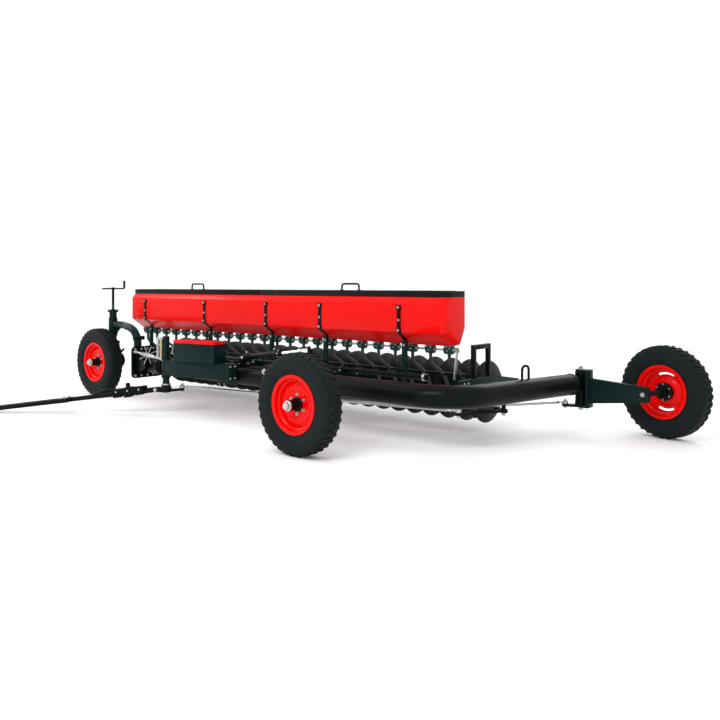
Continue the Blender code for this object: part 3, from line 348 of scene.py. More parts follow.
def bolt(bm, place, axis, across=0.024, thick=0.012, washer=True):
    """Hexagon head or nut on a washer, standing on a face, with a little thread showing."""
    axis = Vector(axis).normalized()
    radius = across / 2 / math.cos(math.pi / 6)
    foot = 0.0
    if washer:
        turn(bm, [(0.0, 0.0), (radius * 1.25, 0.0), (radius * 1.25, 0.0025), (0.0, 0.0025)],
             place, axis, 20)
        foot = 0.0025
    turn(bm, [(0.0, foot), (radius, foot), (radius, foot + thick * 0.8),
              (radius * 0.86, foot + thick), (0.0, foot + thick)], place, axis, 6)
    turn(bm, [(across * 0.28, foot + thick), (across * 0.28, foot + thick * 1.35),
              (0.0, foot + thick * 1.4)], place, axis, 12)


def piece(name, bm, material, body, replaced=(), angle=35.0):
    """Turn a finished mesh into a named piece that rides on its body."""
    bmesh.ops.recalc_face_normals(bm, faces=bm.faces)
    mesh = bpy.data.meshes.new(name)
    bm.to_mesh(mesh)
    bm.free()
    mesh.shade_smooth()
    mesh.set_sharp_from_angle(angle=math.radians(angle))
    mesh.materials.append(material)
    obj = bpy.data.objects.new(name, mesh)
    bpy.context.scene.collection.objects.link(obj)
    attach(obj, body)
    if replaced:
        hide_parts(*replaced)
    return obj


def repaint(node, material):
    """A CAD piece whose shape is right gets its real finish."""
    obj = frame["nodes"][node]
    obj.data.materials.clear()
    obj.data.materials.append(material)


def joint_place(name):
    return Vector(next(joint for joint in frame["joints"] if joint["name"] == name)["pos_m"])


def weld_ring(bm, centre, axis, radius, size=0.007):
    """Bead of weld where a round tube meets a plate."""
    axis = Vector(axis).normalized()
    side = axis.orthogonal().normalized()
    up = axis.cross(side)
    steps = 96
    route = []
    radii = []
    for step in range(steps + 1):
        angle = math.tau * step / steps
        route.append(centre + (side * math.cos(angle) + up * math.sin(angle)) * radius)
        radii.append(size * (0.85 + 0.15 * (step % 3)))
    draw_tube(bm, route, size, sides=8, radii=radii)


tube_low, tube_high = (Vector(corner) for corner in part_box("main_tube"))
TUBE_RADIUS = (tube_high.z - tube_low.z) / 2
TUBE_Z = (tube_high.z + tube_low.z) / 2
TUBE_Y = -0.42
BEND_RADIUS = 0.50
TAIL_LEAN = math.radians(12.8)
ROW_END = 2.7432
BEND = at(ROW_END - 0.105, TUBE_Y + BEND_RADIUS, TUBE_Z)
PIVOT = joint_place("rear_swivel")
TAIL = Vector((math.sin(TAIL_LEAN), math.cos(TAIL_LEAN), 0.0))
TUBE_END = Vector((PIVOT.x, PIVOT.y, TUBE_Z)) - TAIL * 0.1603

route = [Vector((tube_low.x, BEND.y - BEND_RADIUS, TUBE_Z))]
for step in range(25):
    angle = (math.pi / 2 - TAIL_LEAN) * step / 24
    route.append(BEND + Vector((math.sin(angle), -math.cos(angle), 0.0)) * BEND_RADIUS)
route.append(TUBE_END)
bm = bmesh.new()
draw_tube(bm, route, TUBE_RADIUS * 0.998, sides=64)
weld_ring(bm, route[0] + Vector((0.004, 0.0, 0.0)), (1, 0, 0), TUBE_RADIUS)
turn(bm, [(TUBE_RADIUS - 0.001, -0.02), (TUBE_RADIUS + 0.004, -0.018), (TUBE_RADIUS + 0.004, 0.0),
          (0.0, 0.0)], TUBE_END, TAIL, 64)
piece("backbone_tube", bm, FRAME_BLACK, "frame", ["main_tube"])

# ---------------------------------------------------------------- left end plate
# A 20 mm plate welded over the tube's left end. Two rows of bolts hold the front wheel's neck
# and the drawbar's brace to it, and two ribs stiffen it from behind.
plate_low, plate_high = (Vector(corner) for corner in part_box("left_end_plate"))
repaint("left_end_plate", FRAME_BLACK)


def plated(name, tint=(0.56, 0.57, 0.56), roughness=0.30):
    """Zinc plate: pale metal with a blotchy passivated sheen."""
    finish = Finish(name)
    blotch = finish.ramp(finish.cloud(26.0, 5.0), 0.35, 0.68)
    grain = finish.cloud(700.0, 2.0)
    dull = tuple(value * 0.72 for value in tint)
    finish.set(
        Base_Color=finish.colours(blotch, tint, dull),
        Metallic=0.95,
        Roughness=roughness + blotch * 0.14 + grain * 0.05,
        Normal=finish.bump(grain, 0.04, 0.001))
    return finish.material


ZINC = plated("bright_zinc")
YELLOW_ZINC = plated("yellow_zinc", (0.60, 0.50, 0.28))

bm = bmesh.new()
for step in range(5):
    y = plate_low.y + 0.05 + (plate_high.y - plate_low.y - 0.10) * step / 4
    for z in (plate_low.z + 0.035, plate_high.z - 0.035):
        bolt(bm, Vector((plate_high.x, y, z)), (1, 0, 0))
        bolt(bm, Vector((plate_low.x, y, z)), (-1, 0, 0), washer=False)
piece("end_plate_bolts", bm, ZINC, "frame")

bm = bmesh.new()
middle_y = (plate_low.y + plate_high.y) / 2
for side in (-1, 1):
    y = middle_y + side * 0.165
    sheet_cut(bm, [Vector((plate_high.x, y, plate_low.z + 0.07)),
                   Vector((plate_high.x, y, plate_high.z - 0.07)),
                   Vector((plate_high.x + 0.06, y, plate_high.z - 0.07)),
                   Vector((plate_high.x + 0.20, y, TUBE_Z + 0.02)),
                   Vector((plate_high.x + 0.20, y, TUBE_Z - 0.02)),
                   Vector((plate_high.x + 0.06, y, plate_low.z + 0.07))], 0.012)
    block(bm, Vector((plate_high.x + 0.15, middle_y + side * 0.135, TUBE_Z)), (0.09, 0.05, 0.03))
piece("end_plate_ribs", bm, FRAME_BLACK, "frame")

# ---------------------------------------------------------------- gooseneck
# The front wheel's neck is a 102 mm tube, bent over and dropped on to the end plate. It is
# welded to the steering column through a saddle, with a curved gusset under it.
COLUMN_X = -(ROW_END + 0.117)
COLUMN_Y = -0.215
NECK_Z = 0.99
neck_foot_x = -1.7698
neck_route = rounded([
    at(COLUMN_X + 0.0503, COLUMN_Y, NECK_Z), at(COLUMN_X + 0.30, COLUMN_Y - 0.02, NECK_Z),
    at(neck_foot_x - 0.22, -0.50, NECK_Z), at(neck_foot_x - 0.08, -0.52, NECK_Z - 0.04),
    at(neck_foot_x - 0.01, -0.52, NECK_Z - 0.13), at(neck_foot_x, -0.52, NECK_Z - 0.20),
    at(neck_foot_x, -0.52, TUBE_Z - 0.08)], 0.11, 10)
bm = bmesh.new()
draw_tube(bm, neck_route, 0.049, sides=36)
turn(bm, [(0.049, 0.0), (0.060, 0.0), (0.060, 0.012), (0.049, 0.014)],
     neck_route[0], neck_route[1] - neck_route[0], 36)
for low in (0.0, 0.20, 0.36):
    block(bm, at(neck_foot_x + 0.022, -0.52, TUBE_Z - 0.02 + low), (0.055, 0.15, 0.05), edge=0.006)
gusset = [at(COLUMN_X + 0.0503, COLUMN_Y - 0.002, NECK_Z - 0.045)]
for step in range(9):
    angle = math.pi / 2 * step / 8
    gusset.append(at(
        COLUMN_X + 0.25 - 0.17 * math.sin(angle), COLUMN_Y - 0.012,
        NECK_Z - 0.045 - 0.20 * (1.0 - math.cos(angle))))
gusset.append(at(COLUMN_X + 0.0503, COLUMN_Y - 0.002, NECK_Z - 0.245))
level_y = gusset[0].y
sheet_cut(bm, [Vector((point.x, level_y, point.z)) for point in gusset], 0.012)
piece("front_neck", bm, FRAME_GREEN, "frame", ["gooseneck"])

# ---------------------------------------------------------------- steering column and jack
# The column is a thick tube that carries the front wheel. A trapezoid screw with a cross bar
# and an upright grip raises and lowers it, and a bronze-bushed collar closes its top.
SPINDLE_TOP = 1.50
COLUMN = at(COLUMN_X, COLUMN_Y)
bm = bmesh.new()
turn(bm, [(0.0, 0.66), (0.046, 0.66), (0.050, 0.664), (0.050, 1.158), (0.058, 1.162),
          (0.058, 1.168), (0.075, 1.170), (0.075, 1.188), (0.071, 1.192), (0.026, 1.192),
          (0.024, 1.206), (0.019, 1.206), (0.019, 1.19), (0.0, 1.19)], COLUMN, (0, 0, 1), 48)
turn(bm, [(0.050, 0.70), (0.064, 0.702), (0.064, 0.755), (0.050, 0.757)], COLUMN, (0, 0, 1), 48)
turn(bm, [(0.050, 0.89), (0.060, 0.892), (0.060, 1.085), (0.050, 1.087)], COLUMN, (0, 0, 1), 48)
for side in (-1, 1):
    block(bm, COLUMN + Vector((0.0, side * 0.075, 0.728)), (0.035, 0.035, 0.045), edge=0.004)
piece("steering_column", bm, FRAME_GREEN, "frame", ["front_column"])

bm = bmesh.new()
thread = [(0.0, 1.195)]
for turn_index in range(58):
    foot = 1.195 + 0.005 * turn_index
    thread += [(0.0155, foot), (0.0155, foot + 0.0015), (0.0190, foot + 0.0025),
               (0.0190, foot + 0.0042)]
thread += [(0.0190, 1.486), (0.024, 1.488), (0.024, 1.514), (0.020, 1.518), (0.0, 1.518)]
turn(bm, thread, COLUMN, (0, 0, 1), 20)
reach = 0.17
draw_tube(bm, rounded([
    COLUMN + Vector((0.0, -reach, SPINDLE_TOP)), COLUMN + Vector((0.0, reach + 0.01, SPINDLE_TOP)),
    COLUMN + Vector((0.0, reach + 0.01, SPINDLE_TOP + 0.03))], 0.012, 6), 0.0105, sides=18)
for step in range(6):
    angle = math.tau * step / 6
    bolt(bm, COLUMN + Vector((0.055 * math.cos(angle), 0.055 * math.sin(angle), 1.192)),
         (0, 0, 1), 0.017, 0.008, washer=False)
for side in (-1, 1):
    bolt(bm, COLUMN + Vector((0.0, side * 0.0925, 0.728)), (0, side, 0), 0.022)
piece("jack_screw", bm, FRAME_BLACK, "frame", ["jack_crank"])

bm = bmesh.new()
grip_foot = COLUMN + Vector((0.0, reach + 0.01, SPINDLE_TOP + 0.012))
turn(bm, [(0.0, 0.0), (0.012, 0.0), (0.017, 0.008), (0.015, 0.05), (0.017, 0.09), (0.013, 0.102),
          (0.0, 0.103)], grip_foot, (0, 0, 1), 24)
draw_tube(bm, rounded([
    COLUMN + Vector((0.05, -0.03, 1.03)), COLUMN + Vector((0.085, -0.05, 1.10)),
    COLUMN + Vector((0.085, -0.055, 1.30))], 0.05, 6), 0.008, sides=12)
piece("jack_grip", bm, FRAME_GREEN, "frame")

# ---------------------------------------------------------------- front leg and seed drive
# The leg turns in the column and carries the front wheel's axle. A chain wheel, a dog clutch
# and its lever on the axle drive the seed shaft from the ground.
WHEEL_Z = joint_place("front_wheel_spin").z
FRONT_WHEEL = joint_place("front_wheel_spin")


def toothed(bm, centre, axis, root, tip, thick, teeth):
    """Chain wheel: flat disc with a tooth at each pitch."""
    basis = Vector(axis).normalized().to_track_quat("Z", "Y").to_matrix()
    rims = []
    for along in (-thick / 2, thick / 2):
        ring = []
        for step in range(teeth * 4):
            radius = tip if step % 4 in (1, 2) else root
            angle = math.tau * (step + (0.3 if step % 4 == 1 else 0.0)) / (teeth * 4)
            ring.append(bm.verts.new(centre + basis @ Vector((
                radius * math.cos(angle), radius * math.sin(angle), along))))
        rims.append(ring)
    count = teeth * 4
    for step in range(count):
        following = (step + 1) % count
        bm.faces.new((rims[0][step], rims[0][following], rims[1][following], rims[1][step]))
    for ring, along in zip(rims, (-thick / 2, thick / 2)):
        hub = bm.verts.new(centre + basis @ Vector((0.0, 0.0, along)))
        for step in range(count):
            bm.faces.new((hub, ring[step], ring[(step + 1) % count]))


bm = bmesh.new()
turn(bm, [(0.0, 0.42), (0.038, 0.422), (0.038, 0.6597), (0.0, 0.6597)], COLUMN, (0, 0, 1), 40)
turn(bm, [(0.0, 0.62), (0.060, 0.622), (0.060, 0.655), (0.0, 0.657)], COLUMN, (0, 0, 1), 40)
axle = COLUMN + Vector((0.0, 0.0, WHEEL_Z))
bar(bm, axle + Vector((0.0, -0.1247, 0.0)), axle + Vector((0.0, 0.17, 0.0)), 0.03, 32)
turn(bm, [(0.0, -0.06), (0.058, -0.06), (0.062, -0.055), (0.062, 0.055), (0.058, 0.06),
          (0.0, 0.06)], axle, (0, 1, 0), 36)
turn(bm, [(0.0, 0.062), (0.045, 0.062), (0.045, 0.10), (0.06, 0.102), (0.06, 0.118),
          (0.0, 0.12)], axle, (0, 1, 0), 30)
toothed(bm, axle + Vector((0.0, 0.13, 0.0)), (0, 1, 0), 0.088, 0.100, 0.008, 22)
toothed(bm, axle + Vector((0.0, 0.150, 0.0)), (0, 1, 0), 0.042, 0.050, 0.008, 12)
flat_bar(bm, axle + Vector((-0.03, 0.10, 0.05)), axle + Vector((0.10, 0.10, 0.16)), 0.012, 0.03)
flat_bar(bm, axle + Vector((0.02, 0.05, 0.03)), axle + Vector((0.02, 0.05, 0.15)), 0.05, 0.02)
piece("front_leg_drive", bm, FRAME_BLACK, "front_mount", ["front_leg"])
bm = bmesh.new()
for step in range(5):
    angle = math.tau * step / 5
    bolt(bm, axle + Vector((0.045 * math.cos(angle), 0.118, 0.045 * math.sin(angle))),
         (0, 1, 0), 0.014, 0.007, washer=False)
bolt(bm, axle + Vector((0.10, 0.106, 0.16)), (0, 1, 0), 0.02)
bolt(bm, axle + Vector((0.0, 0.17, 0.0)), (0, 1, 0), 0.036, 0.016)
piece("drive_bolts", bm, ZINC, "front_mount")

# ---------------------------------------------------------------- tyres
# Three 0.94 m implement tyres of moulded rubber. Two rows of slanting lugs meet in the middle
# of the tread and run down over the shoulders, and rings are moulded round the side walls.
WHEEL_RADIUS = 0.47
LUGS = 38


def rubber_finish():
    finish = Finish("tyre_rubber")
    broad = finish.cloud(5.0, 5.0)
    grain = finish.cloud(260.0, 4.0)
    dust = finish.ramp(finish.cloud(14.0, 6.0, rough=0.65), 0.52, 0.80)
    finish.set(
        Base_Color=finish.colours(
            dust * 0.08, finish.colours(broad, (0.0035, 0.0062, 0.0062), (0.0070, 0.0108, 0.0106)),
            (0.08, 0.080, 0.075)),
        Roughness=0.55 + broad * 0.20 + dust * 0.1,
        Normal=finish.bump(grain, 0.10, 0.0015))
    finish.shader.inputs["Specular IOR Level"].default_value = 0.12
    return finish.material


RUBBER = rubber_finish()
side_profile = [
    (0.2503, 0.0745), (0.272, 0.0750), (0.282, 0.0800), (0.292, 0.0865), (0.300, 0.0875),
    (0.303, 0.0915), (0.310, 0.0935), (0.330, 0.0985), (0.3335, 0.1005), (0.337, 0.0990),
    (0.355, 0.1015), (0.380, 0.1022), (0.398, 0.1005), (0.400, 0.1018), (0.404, 0.1018),
    (0.406, 0.0995), (0.424, 0.0970), (0.440, 0.0910), (0.451, 0.0790), (0.457, 0.0600),
    (0.459, 0.0350), (0.460, 0.0100)]
lug_stations = [
    (0.4695, 0.005, 0.027), (0.4692, 0.034, 0.031), (0.4675, 0.062, 0.033),
    (0.4615, 0.0800, 0.033), (0.4530, 0.0880, 0.032)]


def make_tyre(name, centre, outward, body, node):
    bm = bmesh.new()
    outward = Vector(outward).normalized()
    loop = side_profile + [(radius, -along) for radius, along in reversed(side_profile)]
    turn(bm, loop + [loop[0]], centre, outward, 112)
    bmesh.ops.remove_doubles(bm, verts=bm.verts, dist=1e-6)
    basis = outward.to_track_quat("Z", "Y").to_matrix()

    def on_tread(radius, angle, along):
        return centre + basis @ Vector((radius * math.cos(angle), radius * math.sin(angle), along))

    for index in range(LUGS):
        for side in (-1, 1):
            start = math.tau * (index + (0.5 if side > 0 else 0.0)) / LUGS
            rows = []
            for top, along, half in lug_stations:
                middle = start - 0.9 * along
                depth = 0.012
                root = top - depth
                spread = half * 1.06
                rows.append([
                    bm.verts.new(on_tread(root, middle - spread, side * (along - 0.004))),
                    bm.verts.new(on_tread(top, middle - half, side * along)),
                    bm.verts.new(on_tread(top, middle + half, side * along)),
                    bm.verts.new(on_tread(root, middle + spread, side * (along - 0.004)))])
            for one, two in zip(rows, rows[1:]):
                for corner in range(3):
                    bm.faces.new((one[corner], two[corner], two[corner + 1], one[corner + 1]))
            bm.faces.new(rows[0])
            bm.faces.new(rows[-1])
    piece(name, bm, RUBBER, body, [node], angle=32.0)


# ---------------------------------------------------------------- rims and hubs
# Pressed steel wheels with a drop centre, sprayed gloss red. The disc is bolted to a black cast
# hub; on the front and land wheels a plated cap closes the long hub.
def gloss_red(name, colour):
    finish = Finish(name)
    broad = finish.cloud(2.2, 3.0)
    peel = finish.cloud(70.0, 2.0)
    fine = finish.cloud(500.0, 2.0)
    bright = tuple(min(1.0, value * 1.06) for value in colour)
    deep = tuple(value * 0.92 for value in colour)
    finish.set(
        Base_Color=finish.colours(broad, deep, bright),
        Roughness=0.24 + broad * 0.06 + fine * 0.03,
        Coat_Weight=0.10 + broad * 0.05,
        Normal=finish.bump(peel, 0.03, 0.002))
    finish.shader.inputs["Coat Roughness"].default_value = 0.06
    finish.shader.inputs["Specular IOR Level"].default_value = 0.07
    return finish.material


RIM_RED = gloss_red("rim_red_enamel", (0.74, 0.0020, 0.0010))
rim_half = [
    (0.2505, 0.0750), (0.2700, 0.0755), (0.2728, 0.0785), (0.2728, 0.0820), (0.2695, 0.0832),
    (0.2560, 0.0828), (0.2470, 0.0800), (0.2425, 0.0740), (0.2415, 0.0500), (0.2370, 0.0420),
    (0.2200, 0.0330), (0.2180, 0.0240)]
DISC_BACK = 0.006
disc_dish = [
    (0.2180, 0.012), (0.2120, 0.016), (0.1950, 0.018), (0.1750, 0.030), (0.1600, 0.034),
    (0.1450, 0.030), (0.1300, 0.020), (0.1150, 0.014), (0.0600, 0.013)]


def make_rim(name, centre, outward, body, node, slots=0, cap=True):
    outward = Vector(outward).normalized()
    basis = outward.to_track_quat("Z", "Y").to_matrix()
    bm = bmesh.new()
    barrel = rim_half + [(radius, -along) for radius, along in reversed(rim_half)]
    inner = [(radius - 0.006, along) for radius, along in barrel]
    sides = 96
    turn(bm, barrel, centre, outward, sides)
    turn(bm, inner[4:-4], centre, outward, sides)
    rings = []
    for face in (0.0, -DISC_BACK):
        for radius, along in (disc_dish if face == 0.0 else reversed(disc_dish)):
            rings.append((radius, along + face))
    slot_span = range(17, 31)
    columns = []
    for radius, along in rings:
        column = []
        for step in range(sides):
            angle = math.tau * step / sides
            place = Vector((radius * math.cos(angle), radius * math.sin(angle), along))
            column.append(bm.verts.new(centre + basis @ place))
        columns.append(column)
    half_rings = len(disc_dish)

    def in_slot(ring, step):
        if not slots:
            return False
        front = ring if ring < half_rings else 2 * half_rings - 2 - ring
        period = sides // slots
        return front == 2 and (step % period) in slot_span

    for ring in range(len(rings) - 1):
        for step in range(sides):
            if ring == half_rings - 1 or not in_slot(ring, step):
                following = (step + 1) % sides
                bm.faces.new((columns[ring][step], columns[ring][following],
                              columns[ring + 1][following], columns[ring + 1][step]))
    piece(name, bm, RIM_RED, body, [node])

    bm = bmesh.new()
    if cap:
        turn(bm, [(0.0, 0.02), (0.062, 0.020), (0.066, 0.024), (0.066, 0.034), (0.052, 0.040),
                  (0.047, 0.060), (0.045, 0.112), (0.050, 0.116), (0.050, 0.128), (0.0, 0.130)],
             centre, outward, 40)
        turn(bm, [(0.0, -0.09), (0.050, -0.09), (0.055, -0.084), (0.055, -0.03), (0.075, -0.02),
                  (0.075, 0.010), (0.0, 0.012)], centre, outward, 40)
    else:
        turn(bm, [(0.0, -0.09), (0.048, -0.09), (0.055, -0.084), (0.055, -0.045), (0.092, -0.036),
                  (0.092, -0.010), (0.0, -0.008)], centre, outward, 40)
        turn(bm, [(0.0, 0.02), (0.070, 0.020), (0.070, 0.040), (0.045, 0.060), (0.045, 0.12),
                  (0.0, 0.122)], centre, outward, 40)
    piece(name + "_hub", bm, FRAME_BLACK, body)

    bm = bmesh.new()
    studs = 6
    for step in range(studs):
        angle = math.tau * (step + 0.5) / studs
        spoke = basis @ Vector((math.cos(angle), math.sin(angle), 0.0))
        bolt(bm, centre + spoke * 0.088 + outward * 0.0135, outward, 0.021, 0.013)
        if not cap:
            bolt(bm, centre + spoke * 0.078 - outward * 0.036, -outward, 0.019, 0.012, washer=False)
    if cap:
        turn(bm, [(0.0, 0.1285), (0.046, 0.1285), (0.048, 0.131), (0.048, 0.146), (0.044, 0.150),
                  (0.034, 0.152), (0.033, 0.168), (0.029, 0.1735), (0.0, 0.175)],
             centre, outward, 36)
        turn(bm, [(0.0, 0.168), (0.012, 0.168), (0.012, 0.174), (0.0, 0.1745)], centre, outward, 6)
    piece(name + "_studs", bm, ZINC, body)


REAR_WHEEL = joint_place("rear_wheel_spin")
LAND_WHEEL = joint_place("land_wheel_spin")
REAR_TOE = math.radians(-14.0)
REAR_OUT = Vector((-math.sin(REAR_TOE), math.cos(REAR_TOE), 0.0))
make_tyre("front_wheel_tyre", FRONT_WHEEL, (0, -1, 0), "front_wheel", "front_tyre")
make_tyre("land_wheel_tyre", LAND_WHEEL, (0, -1, 0), "land_wheel", "land_tyre")
make_tyre("rear_wheel_tyre", REAR_WHEEL, REAR_OUT, "rear_wheel", "rear_tyre")
make_rim("front_wheel_rim", FRONT_WHEEL, (0, -1, 0), "front_wheel", "front_rim")
make_rim("land_wheel_rim", LAND_WHEEL, (0, -1, 0), "land_wheel", "land_rim")
make_rim("rear_wheel_rim", REAR_WHEEL, REAR_OUT, "rear_wheel", "rear_rim", slots=2, cap=False)

# ---------------------------------------------------------------- hopper
# A long trough folded from 4 mm steel sheet and sprayed gloss red. Its ends are rounded panels
# welded in, its floor carries the seed meters, and it bolts to the straps through its front.
HOPPER_TOP = 1.43
HOPPER_DEPTH = 0.41
HOPPER_FOLD = 1.067
HOPPER_FLOOR = 0.94
HOPPER_LENGTH = 5.43
HOPPER_CORNER = 0.065
RIM_FACET = 0.045
HOPPER_RED = gloss_red("hopper_red_enamel", (0.74, 0.0020, 0.0010))


def folded_sheet(name, bm, thickness, roll, material, body, replaced):
    """Give a folded shape its sheet thickness and rolled edges, and keep the result."""
    bmesh.ops.recalc_face_normals(bm, faces=bm.faces)
    mesh = bpy.data.meshes.new(name)
    bm.to_mesh(mesh)
    bm.free()
    former = bpy.data.objects.new(name + "_former", mesh)
    bpy.context.scene.collection.objects.link(former)
    sheet = former.modifiers.new("sheet", "SOLIDIFY")
    sheet.thickness = thickness
    sheet.offset = -1.0
    sheet.use_even_offset = True
    fold = former.modifiers.new("fold", "BEVEL")
    fold.width = roll
    fold.segments = 3
    fold.limit_method = "ANGLE"
    fold.angle_limit = math.radians(32)
    graph = bpy.context.evaluated_depsgraph_get()
    bm = bmesh.new()
    bm.from_mesh(former.evaluated_get(graph).to_mesh())
    bpy.data.objects.remove(former, do_unlink=True)
    return piece(name, bm, material, body, replaced, angle=28.0)


def drop_faces(bm, level):
    flat = [face for face in bm.faces if all(abs(vert.co.z - level) < 1e-5 for vert in face.verts)]
    bmesh.ops.delete(bm, geom=flat, context="FACES")


bm = bmesh.new()
left_x = at(HOPPER_X - HOPPER_LENGTH / 2, 0.0).x
section = [(RIM_FACET, HOPPER_TOP), (0.0, HOPPER_TOP - 0.06), (0.0, HOPPER_FOLD),
           (0.18, HOPPER_FLOOR), (0.32, HOPPER_FLOOR), (HOPPER_DEPTH, 1.11),
           (HOPPER_DEPTH, HOPPER_TOP)]
face = bm.faces.new([bm.verts.new((left_x, DATUM.y + y, z)) for y, z in section])
grown = bmesh.ops.extrude_face_region(bm, geom=[face])
moved = [item for item in grown["geom"] if isinstance(item, bmesh.types.BMVert)]
bmesh.ops.translate(bm, vec=(HOPPER_LENGTH, 0, 0), verts=moved)
bmesh.ops.recalc_face_normals(bm, faces=bm.faces)
drop_faces(bm, HOPPER_TOP)
ends = [edge for edge in bm.edges
        if not edge.is_boundary and abs(edge.verts[0].co.x - edge.verts[1].co.x) < 1e-6]
bmesh.ops.bevel(bm, geom=ends, offset=HOPPER_CORNER, segments=8, profile=0.5, affect="EDGES")
folded_sheet("seed_hopper", bm, 0.004, 0.002, HOPPER_RED, "frame", ["hopper"])

# ---------------------------------------------------------------- hopper lids
# Two pressed black lids meet in the middle. Each has a rolled edge, two stiffening ribs, a bent
# handle on foot plates, and hinge knuckles along the back of the hopper.
LID_BLACK = enamel("lid_black_enamel", (0.0045, 0.0050, 0.0052), 0.30)
LID_HEIGHT = 0.06
LID_FOOT = HOPPER_TOP + 0.0003
for name, side in (("left", -1), ("right", 1)):
    near, far = HOPPER_X + side * 0.003, HOPPER_X + side * HOPPER_LENGTH / 2
    low_x, high_x = sorted((at(near, 0.0).x, at(far, 0.0).x))
    front_y, back_y = DATUM.y + RIM_FACET, DATUM.y + HOPPER_DEPTH
    middle = Vector(((low_x + high_x) / 2, (front_y + back_y) / 2, LID_FOOT + LID_HEIGHT / 2))
    bm = bmesh.new()
    bmesh.ops.create_cube(bm, size=1.0)
    bmesh.ops.transform(bm, verts=bm.verts, matrix=Matrix.Translation(middle) @ Matrix.Diagonal(
        (high_x - low_x, back_y - front_y, LID_HEIGHT, 1.0)))
    drop_faces(bm, LID_FOOT)
    end_x = at(far, 0.0).x
    uprights = [edge for edge in bm.edges
                if all(abs(vert.co.x - end_x) < 1e-5 for vert in edge.verts)
                and abs(edge.verts[0].co.z - edge.verts[1].co.z) > 0.03]
    bmesh.ops.bevel(bm, geom=uprights, offset=HOPPER_CORNER, segments=8, profile=0.5,
                    affect="EDGES")
    body = name + "_lid"
    folded_sheet(name + "_hopper_lid", bm, 0.003, 0.006, LID_BLACK, body,
                 ["lid_" + name])

    bm = bmesh.new()
    inner_x, outer_x = at(HOPPER_X + side * 0.02, 0.0).x, at(far - side * 0.09, 0.0).x
    for y in (0.10, 0.33):
        flat_bar(bm, Vector((inner_x, DATUM.y + y, LID_FOOT + LID_HEIGHT + 0.0012)),
                 Vector((outer_x, DATUM.y + y, LID_FOOT + LID_HEIGHT + 0.0012)), 0.022, 0.0050,
                 edge=0.002)
    flat_bar(bm, Vector((inner_x, front_y - 0.003, LID_FOOT + 0.012)),
             Vector((outer_x, front_y - 0.003, LID_FOOT + 0.012)), 0.007, 0.022, edge=0.003)
    top = LID_FOOT + LID_HEIGHT
    handle_y = DATUM.y + 0.16
    for step in (-1, 1):
        x = middle.x + step * 0.125
        block(bm, Vector((x, handle_y, top + 0.003)), (0.060, 0.045, 0.006), edge=0.002)
    draw_tube(bm, rounded([
        Vector((middle.x - 0.125, handle_y, top + 0.004)),
        Vector((middle.x - 0.125, handle_y, top + 0.0745)),
        Vector((middle.x + 0.125, handle_y, top + 0.0745)),
        Vector((middle.x + 0.125, handle_y, top + 0.004))], 0.035, 8), 0.0105, sides=16)
    for step in range(5):
        x = middle.x + (step - 2) * 0.60
        block(bm, Vector((x, back_y + 0.0025, LID_FOOT + 0.024)), (0.08, 0.004, 0.036), edge=0.001)
    piece(name + "_lid_fittings", bm, LID_BLACK, body, ["lid_handle_" + name])

    bm = bmesh.new()
    for step in (-1, 1):
        for across in (-1, 1):
            bolt(bm, Vector((middle.x + step * 0.125 + across * 0.021, handle_y, top + 0.006)),
                 (0, 0, 1), 0.010, 0.005, washer=False)
    for step in range(5):
        x = middle.x + (step - 2) * 0.60
        for across in (-1, 1):
            bolt(bm, Vector((x + across * 0.026, back_y + 0.0045, LID_FOOT + 0.026)), (0, 1, 0),
                 0.010, 0.004, washer=False)
    piece(name + "_lid_screws", bm, ZINC, body)
    bm = bmesh.new()
    for step in range(5):
        x = middle.x + (step - 2) * 0.60
        block(bm, Vector((x, back_y + 0.0025, HOPPER_TOP - 0.032)), (0.08, 0.004, 0.036),
              edge=0.001)
        turn(bm, [(0.0, -0.040), (0.003, -0.040), (0.003, 0.040), (0.0, 0.040)],
             Vector((x, back_y + 0.0045, HOPPER_TOP - 0.0125)), (1, 0, 0), 12)
        for across in (-1, 1):
            bolt(bm, Vector((x + across * 0.026, back_y + 0.0045, HOPPER_TOP - 0.034)), (0, 1, 0),
                 0.010, 0.004, washer=False)
    piece(name + "_lid_hinge_leaves", bm, ZINC, "frame")

# ---------------------------------------------------------------- hopper stand
# A square tube runs the length of the discs on the hangers. Five posts stand on it, and each
# carries a bent strap that is bolted up the hopper's front.
stand_low, stand_high = (Vector(corner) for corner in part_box("hopper_stand"))
RAIL_TOP = 0.4997
STAND_Y = 0.10
SPAN = 0.2286 * 6
HANGERS = [0.10 - ROW_END + SPAN * index - 0.03 for index in range(5)]
STRAPS = [hanger + shift for hanger, shift in zip(HANGERS, (0.293, 0.252, 0.05, -0.432, -0.693))]
SLOPE = (HOPPER_FOLD - HOPPER_FLOOR) / 0.18
rail_end = at(0.0, STAND_Y, RAIL_TOP - 0.03)
bm = bmesh.new()
block(bm, Vector(((stand_low.x + stand_high.x) / 2, rail_end.y, rail_end.z)),
      (stand_high.x - stand_low.x, 0.06, 0.06), edge=0.006)
for place in STRAPS:
    foot = at(place, STAND_Y, RAIL_TOP)
    block(bm, foot + Vector((0.0, 0.0, 0.235)), (0.06, 0.030, 0.485), edge=0.004)
    block(bm, foot + Vector((0.0, 0.0, 0.005)), (0.12, 0.058, 0.010), edge=0.002)
    for side in (-1, 1):
        inner_foot = foot + Vector((side * 0.03, 0.0, 0.01))
        outer_foot = foot + Vector((side * 0.058, 0.0, 0.01))
        sheet_cut(bm, [inner_foot, outer_foot, foot + Vector((side * 0.03, 0.0, 0.09))], 0.008)
piece("hopper_posts", bm, FRAME_GREEN, "frame", ["hopper_stand"])

STRAP_TOP = 1.345


def strap_line(y, off):
    return HOPPER_FOLD - SLOPE * y - off * math.hypot(1.0, SLOPE)


